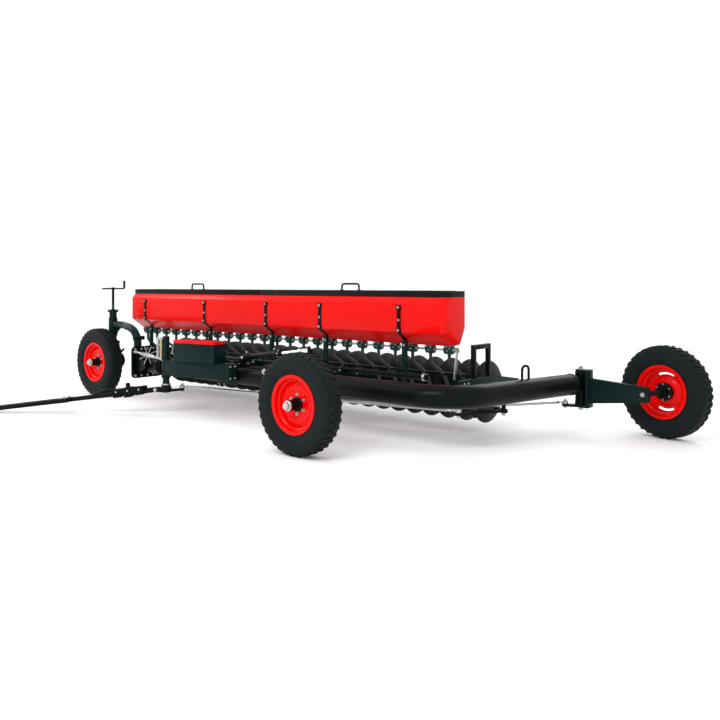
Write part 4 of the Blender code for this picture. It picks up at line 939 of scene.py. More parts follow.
bm = bmesh.new()
for place in STRAPS:
    outline = [(-0.0004, STRAP_TOP), (-0.0064, STRAP_TOP), (-0.0064, strap_line(-0.0064, 0.0064)),
               (0.115, strap_line(0.115, 0.0064)), (0.115, strap_line(0.115, 0.0005)),
               (-0.0004, strap_line(-0.0004, 0.0005))]
    sheet_cut(bm, [at(place, y, z) for y, z in outline], 0.045)
    block(bm, at(place, -0.0075, STRAP_TOP - 0.022), (0.058, 0.014, 0.050), edge=0.003)
    block(bm, at(place, -0.0075, HOPPER_FOLD + 0.02), (0.056, 0.014, 0.040), edge=0.003)
piece("hopper_straps", bm, FRAME_BLACK, "frame")

bm = bmesh.new()
for place in STRAPS:
    for z in (STRAP_TOP - 0.022, HOPPER_FOLD + 0.020, HOPPER_FOLD + 0.125):
        bolt(bm, at(place, -0.0146 if z != HOPPER_FOLD + 0.125 else -0.0066, z), (0, -1, 0),
             0.019, 0.010)
    for side in (-1, 1):
        bolt(bm, at(place + side * 0.045, STAND_Y, RAIL_TOP + 0.010), (0, 0, 1), 0.016, 0.008)
    bolt(bm, at(place, STAND_Y - 0.015, 0.93), (0, -1, 0), 0.019, 0.010)
piece("hopper_strap_bolts", bm, ZINC, "frame")

# ---------------------------------------------------------------- seed meters
# Twenty-four cast meters bolt under the hopper floor and share one square-ended shaft. Each has
# a fluted roller between two round flanges, a shut-off slide and a spout for its hose.
PITCH = 0.2286
METERS = [-0.06 - ROW_END + PITCH * (index + 0.5) for index in range(24)]
METER_Y = 0.25
METER_TOP = HOPPER_FLOOR - 0.0006
METER_FOOT = METER_TOP - 0.0897
METER_AXLE = METER_FOOT + 0.045
METER_GREEN = enamel("meter_green_enamel", (0.008, 0.060, 0.052), 0.38, spread=0.25)
bm = bmesh.new()
for place in METERS:
    hub = at(place, METER_Y, METER_AXLE)
    block(bm, hub + Vector((0.0, 0.0, 0.020)), (0.066, 0.100, 0.048), edge=0.008)
    turn(bm, [(0.0, -0.036), (0.034, -0.036), (0.036, -0.033), (0.036, 0.033), (0.034, 0.036),
              (0.0, 0.036)], hub, (1, 0, 0), 28)
    for side in (-1, 1):
        turn(bm, [(0.0, -0.004), (0.042, -0.004), (0.0435, -0.002), (0.0435, 0.002),
                  (0.042, 0.004), (0.0, 0.004)], hub + Vector((side * 0.041, 0.0, 0.0)),
             (1, 0, 0), 28)
    turn(bm, [(0.0, METER_FOOT + 0.002), (0.0235, METER_FOOT), (0.026, METER_FOOT + 0.010),
              (0.033, METER_FOOT + 0.030), (0.0, METER_FOOT + 0.031)], at(place, METER_Y),
         (0, 0, 1), 22)
piece("seed_meters", bm, METER_GREEN, "frame", ["metering_row"])

bm = bmesh.new()
bar(bm, at(METERS[0] - 0.10, METER_Y, METER_AXLE), at(METERS[-1] + 0.10, METER_Y, METER_AXLE),
    0.0095, 16)
for place in METERS:
    hub = at(place, METER_Y, METER_AXLE)
    block(bm, hub + Vector((0.0, 0.0, 0.0425)), (0.096, 0.116, 0.004), edge=0.001)
    for side in (-1, 1):
        turn(bm, [(0.0, 0.0), (0.020, 0.0), (0.020, 0.005), (0.013, 0.010), (0.0, 0.010)],
             hub + Vector((side * 0.0455, 0.0, 0.0)), (side, 0, 0), 18)
        bolt(bm, hub + Vector((side * 0.036, -0.0505, 0.024)), (0, -1, 0), 0.012, 0.006)
    block(bm, hub + Vector((0.0, -0.066, 0.030)), (0.026, 0.034, 0.004), edge=0.001)
    bolt(bm, hub + Vector((0.0, -0.0365, -0.004)), (0, -1, 0), 0.015, 0.008)
shut_off = at(METERS[-1] + 0.092, METER_Y, METER_AXLE)
flat_bar(bm, shut_off, shut_off + Vector((0.0, -0.045, -0.27)), 0.012, 0.034, past=0.018)
turn(bm, [(0.0, -0.012), (0.027, -0.012), (0.027, 0.012), (0.0, 0.012)], shut_off, (1, 0, 0), 24)
piece("meter_fittings", bm, ZINC, "frame")

# ---------------------------------------------------------------- seed hoses
# A ribbed rubber hose leads from each meter to its disc. All of them pass through clips on one
# black bar that lies on the hangers, and end in a short steel boot behind the disc.
DISCS = [0.10 - ROW_END + PITCH * (index + 0.5) for index in range(24)]
HOSE_RADIUS = 0.019
HOLDER = Vector((0.0, 0.37, 0.6353))


def hose_finish():
    finish = Finish("ribbed_hose")
    broad = finish.cloud(9.0, 4.0)
    fine = finish.cloud(300.0, 3.0)
    finish.set(
        Base_Color=finish.colours(broad, (0.006, 0.007, 0.007), (0.016, 0.017, 0.018)),
        Roughness=0.42 + broad * 0.18,
        Normal=finish.bump(fine, 0.06, 0.001))
    return finish.material


HOSE_BLACK = hose_finish()


def evenly(points, spacing):
    """The same route with a point at each spacing."""
    lengths = [0.0]
    for one, two in zip(points, points[1:]):
        lengths.append(lengths[-1] + (two - one).length)
    count = max(2, int(lengths[-1] / spacing))
    route = []
    leg = 0
    for step in range(count + 1):
        want = lengths[-1] * step / count
        while leg < len(points) - 2 and lengths[leg + 1] < want:
            leg += 1
        run = max(lengths[leg + 1] - lengths[leg], 1e-9)
        route.append(points[leg].lerp(points[leg + 1], (want - lengths[leg]) / run))
    return route


bm = bmesh.new()
for meter, disc in zip(METERS, DISCS):
    route = evenly(rounded([
        at(meter, METER_Y, METER_FOOT - 0.0005), at(meter, METER_Y, METER_FOOT - 0.10),
        at((meter + disc) / 2, HOLDER.y, HOLDER.z), at(disc, 0.49, 0.26)], 0.07, 8), 0.0055)
    radii = [HOSE_RADIUS if step % 2 else HOSE_RADIUS - 0.0022 for step in range(len(route))]
    draw_tube(bm, route, HOSE_RADIUS, sides=12, radii=radii)
piece("seed_hoses", bm, HOSE_BLACK, "frame", ["seed_tube_row"])

bm = bmesh.new()
first, last = (METERS[0] + DISCS[0]) / 2 - 0.06, (METERS[-1] + DISCS[-1]) / 2 + 0.06
flat_bar(bm, at(first, HOLDER.y + 0.004, HOLDER.z), at(last, HOLDER.y + 0.004, HOLDER.z),
         0.022, 0.028)
for meter, disc in zip(METERS, DISCS):
    middle = at((meter + disc) / 2, HOLDER.y, HOLDER.z)
    turn(bm, [(0.019, -0.012), (0.0235, -0.012), (0.0235, 0.012), (0.019, 0.012)], middle,
         Vector((-0.10, -0.15, 1.0)), 18)
    end = at(disc, 0.49, 0.20)
    begin = end.lerp(middle, 0.16)
    draw_tube(bm, [begin, begin.lerp(end, 0.5), end], 0.020, sides=16, radii=[0.0225, 0.021, 0.020])
piece("hose_holder", bm, FRAME_BLACK, "frame")

# ---------------------------------------------------------------- hangers and bearings
# Five flat arms carry the disc gangs. The middle ones are held to the main tube by pairs of
# U-bolts and a back plate, and each ends in a split cast housing for a greased bearing.
AXLE_Z = 0.42
ROW_Y = 0.85
for index in range(5):
    repaint(f"hanger_{index + 1}", FRAME_GREEN)
bm = bmesh.new()
for place in HANGERS:
    hub = at(place, ROW_Y, AXLE_Z)
    turn(bm, [(0.062, -0.030), (0.073, -0.028), (0.076, -0.020), (0.076, 0.020), (0.073, 0.028),
              (0.062, 0.030)], hub, (1, 0, 0), 40)
    block(bm, hub + Vector((0.0, 0.0, 0.088)), (0.052, 0.110, 0.030), edge=0.005)
    for side in (-1, 1):
        block(bm, hub + Vector((0.0, side * 0.082, 0.0)), (0.044, 0.040, 0.046), edge=0.006)
piece("bearing_housings", bm, FRAME_BLACK, "frame")

bm = bmesh.new()
for place in HANGERS:
    hub = at(place, ROW_Y, AXLE_Z)
    for side in (-1, 1):
        bolt(bm, hub + Vector((0.0, side * 0.084, 0.023)), (0, 0, 1), 0.019, 0.010)
        bolt(bm, hub + Vector((0.0, side * 0.084, -0.023)), (0, 0, -1), 0.019, 0.010)
        bolt(bm, hub + Vector((0.0, side * 0.036, 0.103)), (0, 0, 1), 0.015, 0.008)
    turn(bm, [(0.0, 0.0), (0.005, 0.0), (0.004, 0.008), (0.0025, 0.012), (0.0, 0.013)],
         hub + Vector((0.0, -0.052, 0.056)), (0, -0.7, 0.7), 12)
    for across in (0.12, 0.19):
        for side in (-1, 1):
            bolt(bm, at(place + side * 0.0152, across, 0.585), (side, 0, 0), 0.016, 0.008)
u_bolts = []
for place in (HANGERS[1], HANGERS[3]):
    for side in (-1, 1):
        x = place + side * 0.032
        route = [at(x, TUBE_Y + 0.158, TUBE_Z + TUBE_RADIUS + 0.0085)]
        for step in range(17):
            angle = math.pi / 2 + math.pi * step / 16
            route.append(at(x, TUBE_Y + (TUBE_RADIUS + 0.0085) * math.cos(angle),
                            TUBE_Z + (TUBE_RADIUS + 0.0085) * math.sin(angle)))
        route.append(at(x, TUBE_Y + 0.158, TUBE_Z - TUBE_RADIUS - 0.0085))
        u_bolts.append(route)
        for level in (-1, 1):
            bolt(bm, at(x, TUBE_Y + 0.132, TUBE_Z + level * (TUBE_RADIUS + 0.0085)), (0, 1, 0),
                 0.024, 0.014)
piece("hanger_bolts", bm, ZINC, "frame")

bm = bmesh.new()
for route in u_bolts:
    draw_tube(bm, route, 0.008, sides=12)
for place in (HANGERS[1], HANGERS[3]):
    for side in (-1, 1):
        block(bm, at(place + side * 0.034, TUBE_Y + 0.122, TUBE_Z), (0.034, 0.018, 0.285),
              edge=0.003)
piece("hanger_back_plates", bm, FRAME_BLACK, "frame")

# ---------------------------------------------------------------- disc gangs
# Four gangs of six hollow-ground 26 inch discs turn freely in the bearings. Cast spools hold the
# discs apart on a through bolt. The discs are dished steel, dipped in black.
DISC_RADIUS = 0.33
DISH = 0.075
SPHERE = (DISC_RADIUS ** 2 + DISH ** 2) / (2 * DISH)


def disc_finish():
    finish = Finish("dipped_disc_steel")
    broad = finish.cloud(7.0, 5.0)
    scuff = finish.ramp(finish.cloud(42.0, 7.0, rough=0.7), 0.58, 0.80)
    finish.set(
        Base_Color=finish.colours(
            scuff * 0.06, finish.colours(broad, (0.0030, 0.0052, 0.0050), (0.0075, 0.0105, 0.0100)),
            (0.10, 0.10, 0.10)),
        Metallic=scuff * 0.3,
        Roughness=0.40 + broad * 0.16,
        Normal=finish.bump(finish.cloud(180.0, 3.0), 0.05, 0.001))
    finish.shader.inputs["Specular IOR Level"].default_value = 0.14
    return finish.material


DISC_BLACK = disc_finish()


def sag(radius):
    return SPHERE - math.sqrt(SPHERE ** 2 - radius ** 2)


for gang in range(4):
    low = HANGERS[gang] + 0.0353
    high = HANGERS[gang + 1] - 0.0353
    places = DISCS[gang * 6:gang * 6 + 6]
    centre = at(0.0, ROW_Y, AXLE_Z)
    bm = bmesh.new()
    for place in places:
        rings = 10
        outer = [0.045 + (DISC_RADIUS - 0.012 - 0.045) * step / rings for step in range(rings + 1)]
        profile = [(radius, place + 0.0055 - sag(radius)) for radius in outer]
        profile += [(DISC_RADIUS, place - sag(DISC_RADIUS) + 0.0015),
                    (DISC_RADIUS, place - sag(DISC_RADIUS))]
        profile += [(radius, place - sag(radius)) for radius in reversed(outer)]
        turn(bm, profile + [profile[0]], centre, (1, 0, 0), 80)
    joints = [low] + places + [high]
    for index, (begin, end) in enumerate(zip(joints, joints[1:])):
        start = begin + (0.0062 if index else 0.0)
        stop = end - (0.002 if index < 6 else 0.0)
        turn(bm, [(0.0, start), (0.052, start), (0.058, start + 0.004), (0.058, start + 0.012),
                  (0.040, start + 0.022), (0.034, (start + stop) / 2), (0.040, stop - 0.022),
                  (0.058, stop - 0.012), (0.058, stop - 0.004), (0.052, stop), (0.0, stop)]
             if stop - start > 0.06 else
             [(0.0, start), (0.040, start), (0.046, start + 0.004), (0.046, stop - 0.004),
              (0.040, stop), (0.0, stop)], centre, (1, 0, 0), 40)
    piece(f"disc_gang_{gang + 1}_discs", bm, DISC_BLACK, f"gang_{gang + 1}",
          [f"disc_gang_{gang + 1}"], angle=28.0)

# ---------------------------------------------------------------- scrapers
# A square bar behind the discs carries a scraper for each one: a flat spring-steel arm with a
# blade at its end that cleans the hollow side of the disc.
repaint("scraper_bar", FRAME_BLACK)
bar_low, bar_high = (Vector(corner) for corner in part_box("scraper_bar"))
bar_z = (bar_low.z + bar_high.z) / 2
bm = bmesh.new()
for place in DISCS:
    x = at(place - 0.105, 0.0).x
    flat_bar(bm, Vector((x, bar_low.y - 0.0005, bar_z + 0.036)),
             Vector((x, DATUM.y + 1.05, bar_z - 0.005)), 0.034, 0.007, past=0.03)
    block(bm, Vector((x, bar_low.y + 0.024, bar_z + 0.034)), (0.040, 0.056, 0.007), edge=0.002)
    block(bm, at(place - 0.071, 1.045, bar_z - 0.010), (0.064, 0.005, 0.085), edge=0.001)
piece("scrapers", bm, FRAME_BLACK, "frame")
bm = bmesh.new()
for place in DISCS:
    x = at(place - 0.105, 0.0).x
    bolt(bm, Vector((x, bar_low.y + 0.030, bar_z + 0.0378)), (0, 0, 1), 0.017, 0.009)
    bolt(bm, at(place - 0.088, 1.0475, bar_z - 0.006), (0, 1, 0), 0.013, 0.006)
piece("scraper_bolts", bm, ZINC, "frame")

# ---------------------------------------------------------------- rock shaft and end hoop
# A round shaft lies on the hangers in front of the hopper stand, held by saddles. Levers on it
# shut the seed meters off.
repaint("rock_shaft", FRAME_BLACK)
shaft_low, shaft_high = (Vector(corner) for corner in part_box("rock_shaft"))
shaft_y, shaft_z = (shaft_low.y + shaft_high.y) / 2, (shaft_low.z + shaft_high.z) / 2
bm = bmesh.new()
for place in HANGERS[1:4]:
    middle = Vector((at(place, 0.0).x, shaft_y, shaft_z))
    turn(bm, [(0.028, -0.024), (0.037, -0.024), (0.037, 0.024), (0.028, 0.024)], middle,
         (1, 0, 0), 28)
    for side in (-1, 1):
        block(bm, middle + Vector((0.0, side * 0.046, -0.018)), (0.046, 0.034, 0.012), edge=0.002)
for place in STRAPS[1:]:
    if at(place, 0.0).x < shaft_high.x:
        middle = Vector((at(place + 0.06, 0.0).x, shaft_y, shaft_z))
        turn(bm, [(0.028, -0.012), (0.036, -0.012), (0.036, 0.012), (0.028, 0.012)], middle,
             (1, 0, 0), 24)
        flat_bar(bm, middle + Vector((0.0, 0.0, 0.03)), middle + Vector((0.0, 0.045, 0.15)),
                 0.010, 0.030)
piece("rock_shaft_saddles", bm, FRAME_GREEN, "frame")
hoop_low, hoop_high = (Vector(corner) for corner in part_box("end_gantry"))
HOOP_BAR = 0.05
HOOP_DEEP = 0.042
hoop_x = hoop_high.x - HOOP_DEEP / 2
bm = bmesh.new()
for y in (hoop_low.y + HOOP_BAR / 2, hoop_high.y - HOOP_BAR / 2):
    block(bm, Vector((hoop_x, y, (hoop_low.z + hoop_high.z) / 2)),
          (HOOP_DEEP, HOOP_BAR, hoop_high.z - hoop_low.z), edge=0.006)
block(bm, Vector((hoop_x, (hoop_low.y + hoop_high.y) / 2, hoop_high.z - HOOP_BAR / 2)),
      (HOOP_DEEP - 0.002, hoop_high.y - hoop_low.y - 0.004, HOOP_BAR - 0.002), edge=0.005)
piece("end_hoop", bm, FRAME_BLACK, "frame", ["end_gantry"])
bm = bmesh.new()
end_lever = Vector((shaft_high.x - 0.03, shaft_y, shaft_z))
turn(bm, [(0.028, -0.014), (0.038, -0.014), (0.038, 0.014), (0.028, 0.014)], end_lever,
     (1, 0, 0), 26)
for place in HANGERS[1:4]:
    for side in (-1, 1):
        bolt(bm, Vector((at(place, 0.0).x, shaft_y + side * 0.050, shaft_z - 0.012)), (0, 0, 1),
             0.017, 0.009)
for y in (hoop_low.y + 0.025, hoop_high.y - 0.025):
    for z in (0.575, 0.605):
        bolt(bm, Vector((hoop_high.x - HOOP_DEEP, y, z)), (-1, 0, 0), 0.017, 0.009)
piece("rock_shaft_lever", bm, ZINC, "frame")
eye_low, eye_high = (Vector(corner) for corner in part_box("tube_eye"))
eye_middle = (eye_low + eye_high) / 2
eye_along = Vector((TAIL.x, TAIL.y, 0.0)) * 0.048
bm = bmesh.new()
draw_tube(bm, rounded([
    Vector((eye_middle.x, eye_middle.y, eye_low.z)) - eye_along,
    Vector((eye_middle.x, eye_middle.y, eye_high.z - 0.010)) - eye_along,
    Vector((eye_middle.x, eye_middle.y, eye_high.z - 0.010)) + eye_along,
    Vector((eye_middle.x, eye_middle.y, eye_low.z)) + eye_along], 0.046, 12), 0.013, sides=16)
piece("lifting_eye", bm, FRAME_BLACK, "frame", ["tube_eye"])

# ---------------------------------------------------------------- land wheel arm
# A forged crank turns on the main tube and carries the land wheel. Its bearing block sits on a
# machined pad, and a short lever welded to the shaft is pushed by the lift cylinder.
LIFT = joint_place("land_lift_pivot")
LIFT_AXIS_Y = at(0.0, TUBE_Y).y
arm_y = LAND_WHEEL.y + 0.2025
repaint("lift_bracket", FRAME_BLACK)
bm = bmesh.new()
hinge = Vector((LIFT.x, 0.0, LIFT.z))
bar(bm, hinge + Vector((0.0, arm_y - 0.03, 0.0)), hinge + Vector((0.0, at(0.0, -0.25).y, 0.0)),
    0.0397, 40, 0.004)
block(bm, hinge + Vector((0.30, arm_y, -0.108)), (0.70, 0.046, 0.088),
      along_line(Vector((0.0, 0.0, LIFT.z)), Vector((LAND_WHEEL.x - LIFT.x, 0.0, WHEEL_Z))), 0.012)
for place in (Vector((LIFT.x, arm_y, LIFT.z)), Vector((LAND_WHEEL.x, arm_y, WHEEL_Z))):
    turn(bm, [(0.0, -0.036), (0.058, -0.036), (0.062, -0.032), (0.062, 0.032), (0.058, 0.036),
              (0.0, 0.036)], place, (0, 1, 0), 40)
bar(bm, Vector((LAND_WHEEL.x, LAND_WHEEL.y + 0.0905, WHEEL_Z)),
    Vector((LAND_WHEEL.x, arm_y + 0.055, WHEEL_Z)), 0.03, 32)
lever_y = LIFT_AXIS_Y + 0.0228
flat_bar(bm, Vector((LIFT.x, lever_y, LIFT.z)), Vector((at(1.208, 0.0).x, lever_y, 0.885)),
         0.0245, 0.070, edge=0.004, past=0.006)
turn(bm, [(0.0397, -0.020), (0.058, -0.018), (0.058, 0.018), (0.0397, 0.020)],
     Vector((LIFT.x, lever_y, LIFT.z)), (0, 1, 0), 36)
piece("land_wheel_crank", bm, FRAME_BLACK, "land_lift", ["land_arm"])

bm = bmesh.new()
bolt(bm, Vector((LAND_WHEEL.x, arm_y + 0.055, WHEEL_Z)), (0, 1, 0), 0.042, 0.022)
bolt(bm, Vector((LIFT.x, arm_y - 0.036, LIFT.z)), (0, -1, 0), 0.040, 0.018)
bar(bm, Vector((at(1.22, 0.0).x, lever_y - 0.030, 0.86)),
    Vector((at(1.22, 0.0).x, lever_y + 0.022, 0.86)), 0.011, 20)
piece("crank_pins", bm, ZINC, "land_lift")

bm = bmesh.new()
for y in (TUBE_Y - 0.145, TUBE_Y + 0.135):
    middle = at(0.0, y)
    place = Vector((LIFT.x, middle.y, LIFT.z))
    for side in (-1, 1):
        block(bm, place + Vector((side * 0.060, 0.0, -0.030)), (0.038, 0.040, 0.020), edge=0.003)
    turn(bm, [(0.0405, -0.022), (0.056, -0.020), (0.056, 0.020), (0.0405, 0.022)], place,
         (0, 1, 0), 36)
piece("crank_bearing_caps", bm, FRAME_BLACK, "frame")
bm = bmesh.new()
for y in (TUBE_Y - 0.145, TUBE_Y + 0.135):
    for side in (-1, 1):
        bolt(bm, Vector((LIFT.x + side * 0.066, at(0.0, y).y, LIFT.z - 0.020)), (0, 0, 1),
             0.019, 0.010)
piece("crank_bearing_bolts", bm, ZINC, "frame")

# ---------------------------------------------------------------- lift cylinder
# A double-acting cylinder lies over the main tube between a clevis and the crank's lever. Its
# barrel is black, with a gland nut and two hose unions; its rod is hard chromed.
CLEVIS = joint_place("lift_cylinder_pivot")
PIN = Vector((at(1.22, 0.0).x, CLEVIS.y, 0.86))
run = (PIN - CLEVIS).normalized()
repaint("lift_clevis", FRAME_BLACK)
bm = bmesh.new()
turn(bm, [(0.0, 0.040), (0.034, 0.040), (0.040, 0.046), (0.040, 0.072), (0.036, 0.076),
          (0.036, 0.585), (0.041, 0.590), (0.041, 0.625), (0.034, 0.630), (0.034, 0.640),
          (0.0182, 0.640), (0.0182, 0.50), (0.0, 0.50)], CLEVIS, run, 44)
flat_bar(bm, CLEVIS - run * 0.014, CLEVIS + run * 0.060, 0.0195, 0.042, edge=0.004)
for along in (0.10, 0.56):
    place = CLEVIS + run * along
    turn(bm, [(0.0, 0.030), (0.013, 0.032), (0.013, 0.054), (0.0, 0.055)], place,
         (0.0, -0.55, 0.85), 6)
piece("lift_cylinder_barrel", bm, FRAME_BLACK, "cylinder", ["lift_barrel"])

bm = bmesh.new()
for along in (0.10, 0.56):
    place = CLEVIS + run * along + Vector((0.0, -0.55, 0.85)).normalized() * 0.055
    turn(bm, [(0.0, 0.0), (0.010, 0.0), (0.010, 0.018), (0.0, 0.019)], place,
         (0.0, -0.55, 0.85), 14)
turn(bm, [(0.0345, 0.600), (0.0440, 0.600), (0.0440, 0.616), (0.0345, 0.616)], CLEVIS, run, 6)
piece("lift_cylinder_unions", bm, ZINC, "cylinder")

bm = bmesh.new()
for side in (-1, 1):
    bolt(bm, CLEVIS + Vector((0.0, side * 0.0226, 0.0)), (0, side, 0), 0.030, 0.010)
piece("clevis_pin", bm, ZINC, "frame")


def chrome_finish():
    finish = Finish("hard_chrome")
    streak = finish.cloud(40.0, 3.0, finish.stretched((1.0, 40.0, 40.0)))
    finish.set(
        Base_Color=finish.colours(streak, (0.72, 0.73, 0.75), (0.86, 0.87, 0.88)),
        Metallic=1.0, Roughness=0.08 + streak * 0.06)
    return finish.material


bm = bmesh.new()
reach = (PIN - CLEVIS).length
turn(bm, [(0.0, 0.575), (0.0174, 0.575), (0.0174, reach - 0.09), (0.0, reach - 0.09)],
     CLEVIS, run, 36)
turn(bm, [(0.0, reach - 0.125), (0.026, reach - 0.123), (0.026, reach - 0.095),
          (0.0, reach - 0.093)], CLEVIS, run, 6)
flat_bar(bm, PIN - run * 0.11, PIN + run * 0.012, 0.0195, 0.044, edge=0.005)
piece("lift_cylinder_rod", bm, chrome_finish(), "piston_rod", ["lift_rod"])

# ---------------------------------------------------------------- rear pivot and wheel arm
# A thick-walled sleeve is welded to the end of the main tube. A fabricated yoke swings on it by
# two ears, and a deep box arm carries the stub axle of the rear wheel.
YOKE_FOOT, YOKE_HEAD = 0.30, 0.64
YOKE_PLATE = 0.028
YOKE_WIDTH = 0.13
WEB = 0.08
LEVER_PLATE = 0.028
LEVER_WIDTH = 0.06
LEVER_Z = 0.2857
TIE_PIN = at(ROW_END + 0.567, 1.33, LEVER_Z)


def prism(bm, outline, low, high, edge=0.003):
    """Plate or hollow section lying level, cut to an outline, with eased edges."""
    verts = [bm.verts.new((point[0], point[1], low)) for point in outline]
    foot = bm.faces.new(verts)
    grown = bmesh.ops.extrude_face_region(bm, geom=[foot])
    moved = [item for item in grown["geom"] if isinstance(item, bmesh.types.BMVert)]
    bmesh.ops.translate(bm, vec=(0.0, 0.0, high - low), verts=moved)
    edges = {one for vert in verts + moved for one in vert.link_edges}
    sharp = [one for one in edges if one.calc_face_angle(0.0) > 0.7]
    bmesh.ops.bevel(bm, geom=sharp, offset=edge, segments=2, profile=0.5, affect="EDGES")


def link_plate(bm, start, end, width, thick, edge=0.003):
    """Lever of flat bar between two pins, round at both ends."""
    run = Vector((end.x - start.x, end.y - start.y))
    heading = math.atan2(run.y, run.x)
    outline = []
    for pin, first in ((start, heading + math.pi / 2), (end, heading - math.pi / 2)):
        for step in range(13):
            angle = first + math.pi * step / 12
            outline.append((pin.x + width / 2 * math.cos(angle),
                            pin.y + width / 2 * math.sin(angle)))
    middle = (start.z + end.z) / 2
    prism(bm, outline, middle - thick / 2, middle + thick / 2, edge)


def wedge(bm, start, end, across, start_tall, end_tall, edge=0.006):
    """Box section that tapers in height from one end to the other."""
    grown = bmesh.ops.create_cube(bm, size=1.0)
    verts = grown["verts"]
    turned = along_line(start, end).to_matrix()
    length = (end - start).length
    for vert in verts:
        tall = end_tall if vert.co.x > 0 else start_tall
        local = Vector((vert.co.x * length, vert.co.y * across, vert.co.z * tall))
        vert.co = (start + end) / 2 + turned @ local
    edges = list({one for vert in verts for one in vert.link_edges})
    bmesh.ops.bevel(bm, geom=edges, offset=edge, segments=3, profile=0.5, affect="EDGES")


bm = bmesh.new()
pivot_low = Vector((PIVOT.x, PIVOT.y, 0.0))
turn(bm, [(0.0, YOKE_FOOT + 0.0004), (0.056, YOKE_FOOT + 0.0004), (0.060, YOKE_FOOT + 0.004),
          (0.060, YOKE_FOOT + 0.030), (0.056, YOKE_FOOT + 0.036), (0.056, YOKE_HEAD - 0.036),
          (0.060, YOKE_HEAD - 0.030), (0.060, YOKE_HEAD - 0.004), (0.056, YOKE_HEAD - 0.0004),
          (0.0, YOKE_HEAD - 0.0004)], pivot_low, (0, 0, 1), 48)
flat_bar(bm, Vector((PIVOT.x, PIVOT.y, TUBE_Z)), TUBE_END + TAIL * 0.001, 0.10, 0.16, edge=0.005)
weld_ring(bm, pivot_low + Vector((0.0, 0.0, TUBE_Z + 0.082)), (0, 0, 1), 0.057, 0.005)
piece("pivot_sleeve", bm, FRAME_BLACK, "frame", ["rear_pivot"])

arm_tip = REAR_WHEEL - REAR_OUT * 0.365
arm_tip.z = WHEEL_RADIUS
run = Vector((arm_tip.x - PIVOT.x, arm_tip.y - PIVOT.y, 0.0)).normalized()
flat_pivot = Vector((PIVOT.x, PIVOT.y, 0.0))
bm = bmesh.new()
ear_low, ear_high = YOKE_FOOT - 0.0003 - YOKE_PLATE, YOKE_HEAD + 0.0003
web_middle = flat_pivot + run * (WEB + YOKE_PLATE / 2) + Vector(
    (0.0, 0.0, (YOKE_FOOT + YOKE_HEAD) / 2))
block(bm, web_middle, (YOKE_PLATE, YOKE_WIDTH, ear_high - ear_low + YOKE_PLATE),
      along_line(Vector(), run), 0.005)
for low in (ear_low, ear_high):
    side = Vector((-run.y, run.x, 0.0))
    outline = []
    for step in range(17):
        angle = math.atan2(run.y, run.x) + math.pi / 2 + math.pi * step / 16
        outline.append((flat_pivot.x + 0.055 * math.cos(angle),
                        flat_pivot.y + 0.055 * math.sin(angle)))
    for across in (-1, 1):
        corner = flat_pivot + run * (WEB + 0.014) + side * across * 0.055
        outline.append((corner.x, corner.y))
    prism(bm, outline, low, low + YOKE_PLATE, 0.004)
link_plate(bm, Vector((PIVOT.x, PIVOT.y, LEVER_Z)), TIE_PIN, 0.07, LEVER_PLATE)
spine_start = web_middle + Vector((0.0, 0.0, YOKE_FOOT + 0.1525 - web_middle.z))
wedge(bm, spine_start, arm_tip + run * 0.05, 0.06, 0.265, 0.15)
bar(bm, REAR_WHEEL - REAR_OUT * 0.0905, arm_tip + REAR_OUT * -0.028, 0.03, 36)
turn(bm, [(0.0, 0.031), (0.046, 0.031), (0.046, 0.052), (0.030, 0.060), (0.0, 0.060)],
     arm_tip, REAR_OUT, 32)
for across in (-1, 1):
    for tall in (-1, 1):
        offset = side * across * 0.030 + Vector((0.0, 0.0, tall * 0.09))
        sheet_cut(bm, [spine_start + offset, spine_start + offset + run * 0.10,
                       spine_start + offset + side * across * 0.030], 0.008)
piece("rear_yoke_arm", bm, FRAME_GREEN, "rear_mount", ["rear_arm"])

bm = bmesh.new()
turn(bm, [(0.0, 0.0), (0.040, 0.0), (0.040, 0.004), (0.0, 0.004)],
     flat_pivot + Vector((0.0, 0.0, ear_high + YOKE_PLATE)), (0, 0, 1), 32)
bolt(bm, flat_pivot + Vector((0.0, 0.0, ear_high + YOKE_PLATE + 0.004)), (0, 0, 1), 0.046, 0.022)
bolt(bm, flat_pivot + Vector((0.0, 0.0, ear_low)), (0, 0, -1), 0.052, 0.022)
bolt(bm, TIE_PIN + Vector((0.0, 0.0, -LEVER_PLATE / 2)), (0, 0, -1), 0.026, 0.014)
bolt(bm, arm_tip - REAR_OUT * 0.030, -REAR_OUT, 0.034, 0.018)
piece("yoke_nuts", bm, ZINC, "rear_mount")

# ---------------------------------------------------------------- steering linkage
# The tow bar steers the rear wheel: a plated rod under the machine turns a bell crank below the
# bend of the tube, and a second rod turns the yoke. Each rod has screwed rod ends and lock nuts.
CRANK_PIN = joint_place("steering_crank_pivot")
FRONT_PIN = at(ROW_END + 0.017, 0.12, LEVER_Z)
REAR_PIN = at(ROW_END + 0.127, 0.67, LEVER_Z)
TOW_LEVER_PIN = at(-0.75, -0.57, LEVER_Z)
repaint("crank_bracket", FRAME_BLACK)
bm = bmesh.new()
link_plate(bm, Vector((CRANK_PIN.x, CRANK_PIN.y, LEVER_Z)), FRONT_PIN, LEVER_WIDTH, LEVER_PLATE)
link_plate(bm, Vector((CRANK_PIN.x, CRANK_PIN.y, LEVER_Z)), REAR_PIN, LEVER_WIDTH,
           LEVER_PLATE - 0.001)
turn(bm, [(0.0, -0.021), (0.038, -0.021), (0.041, -0.018), (0.041, 0.0135), (0.0, 0.0135)],
     Vector((CRANK_PIN.x, CRANK_PIN.y, LEVER_Z)), (0, 0, 1), 36)
piece("bell_crank", bm, FRAME_BLACK, "steer_crank", ["steering_crank"])
bm = bmesh.new()
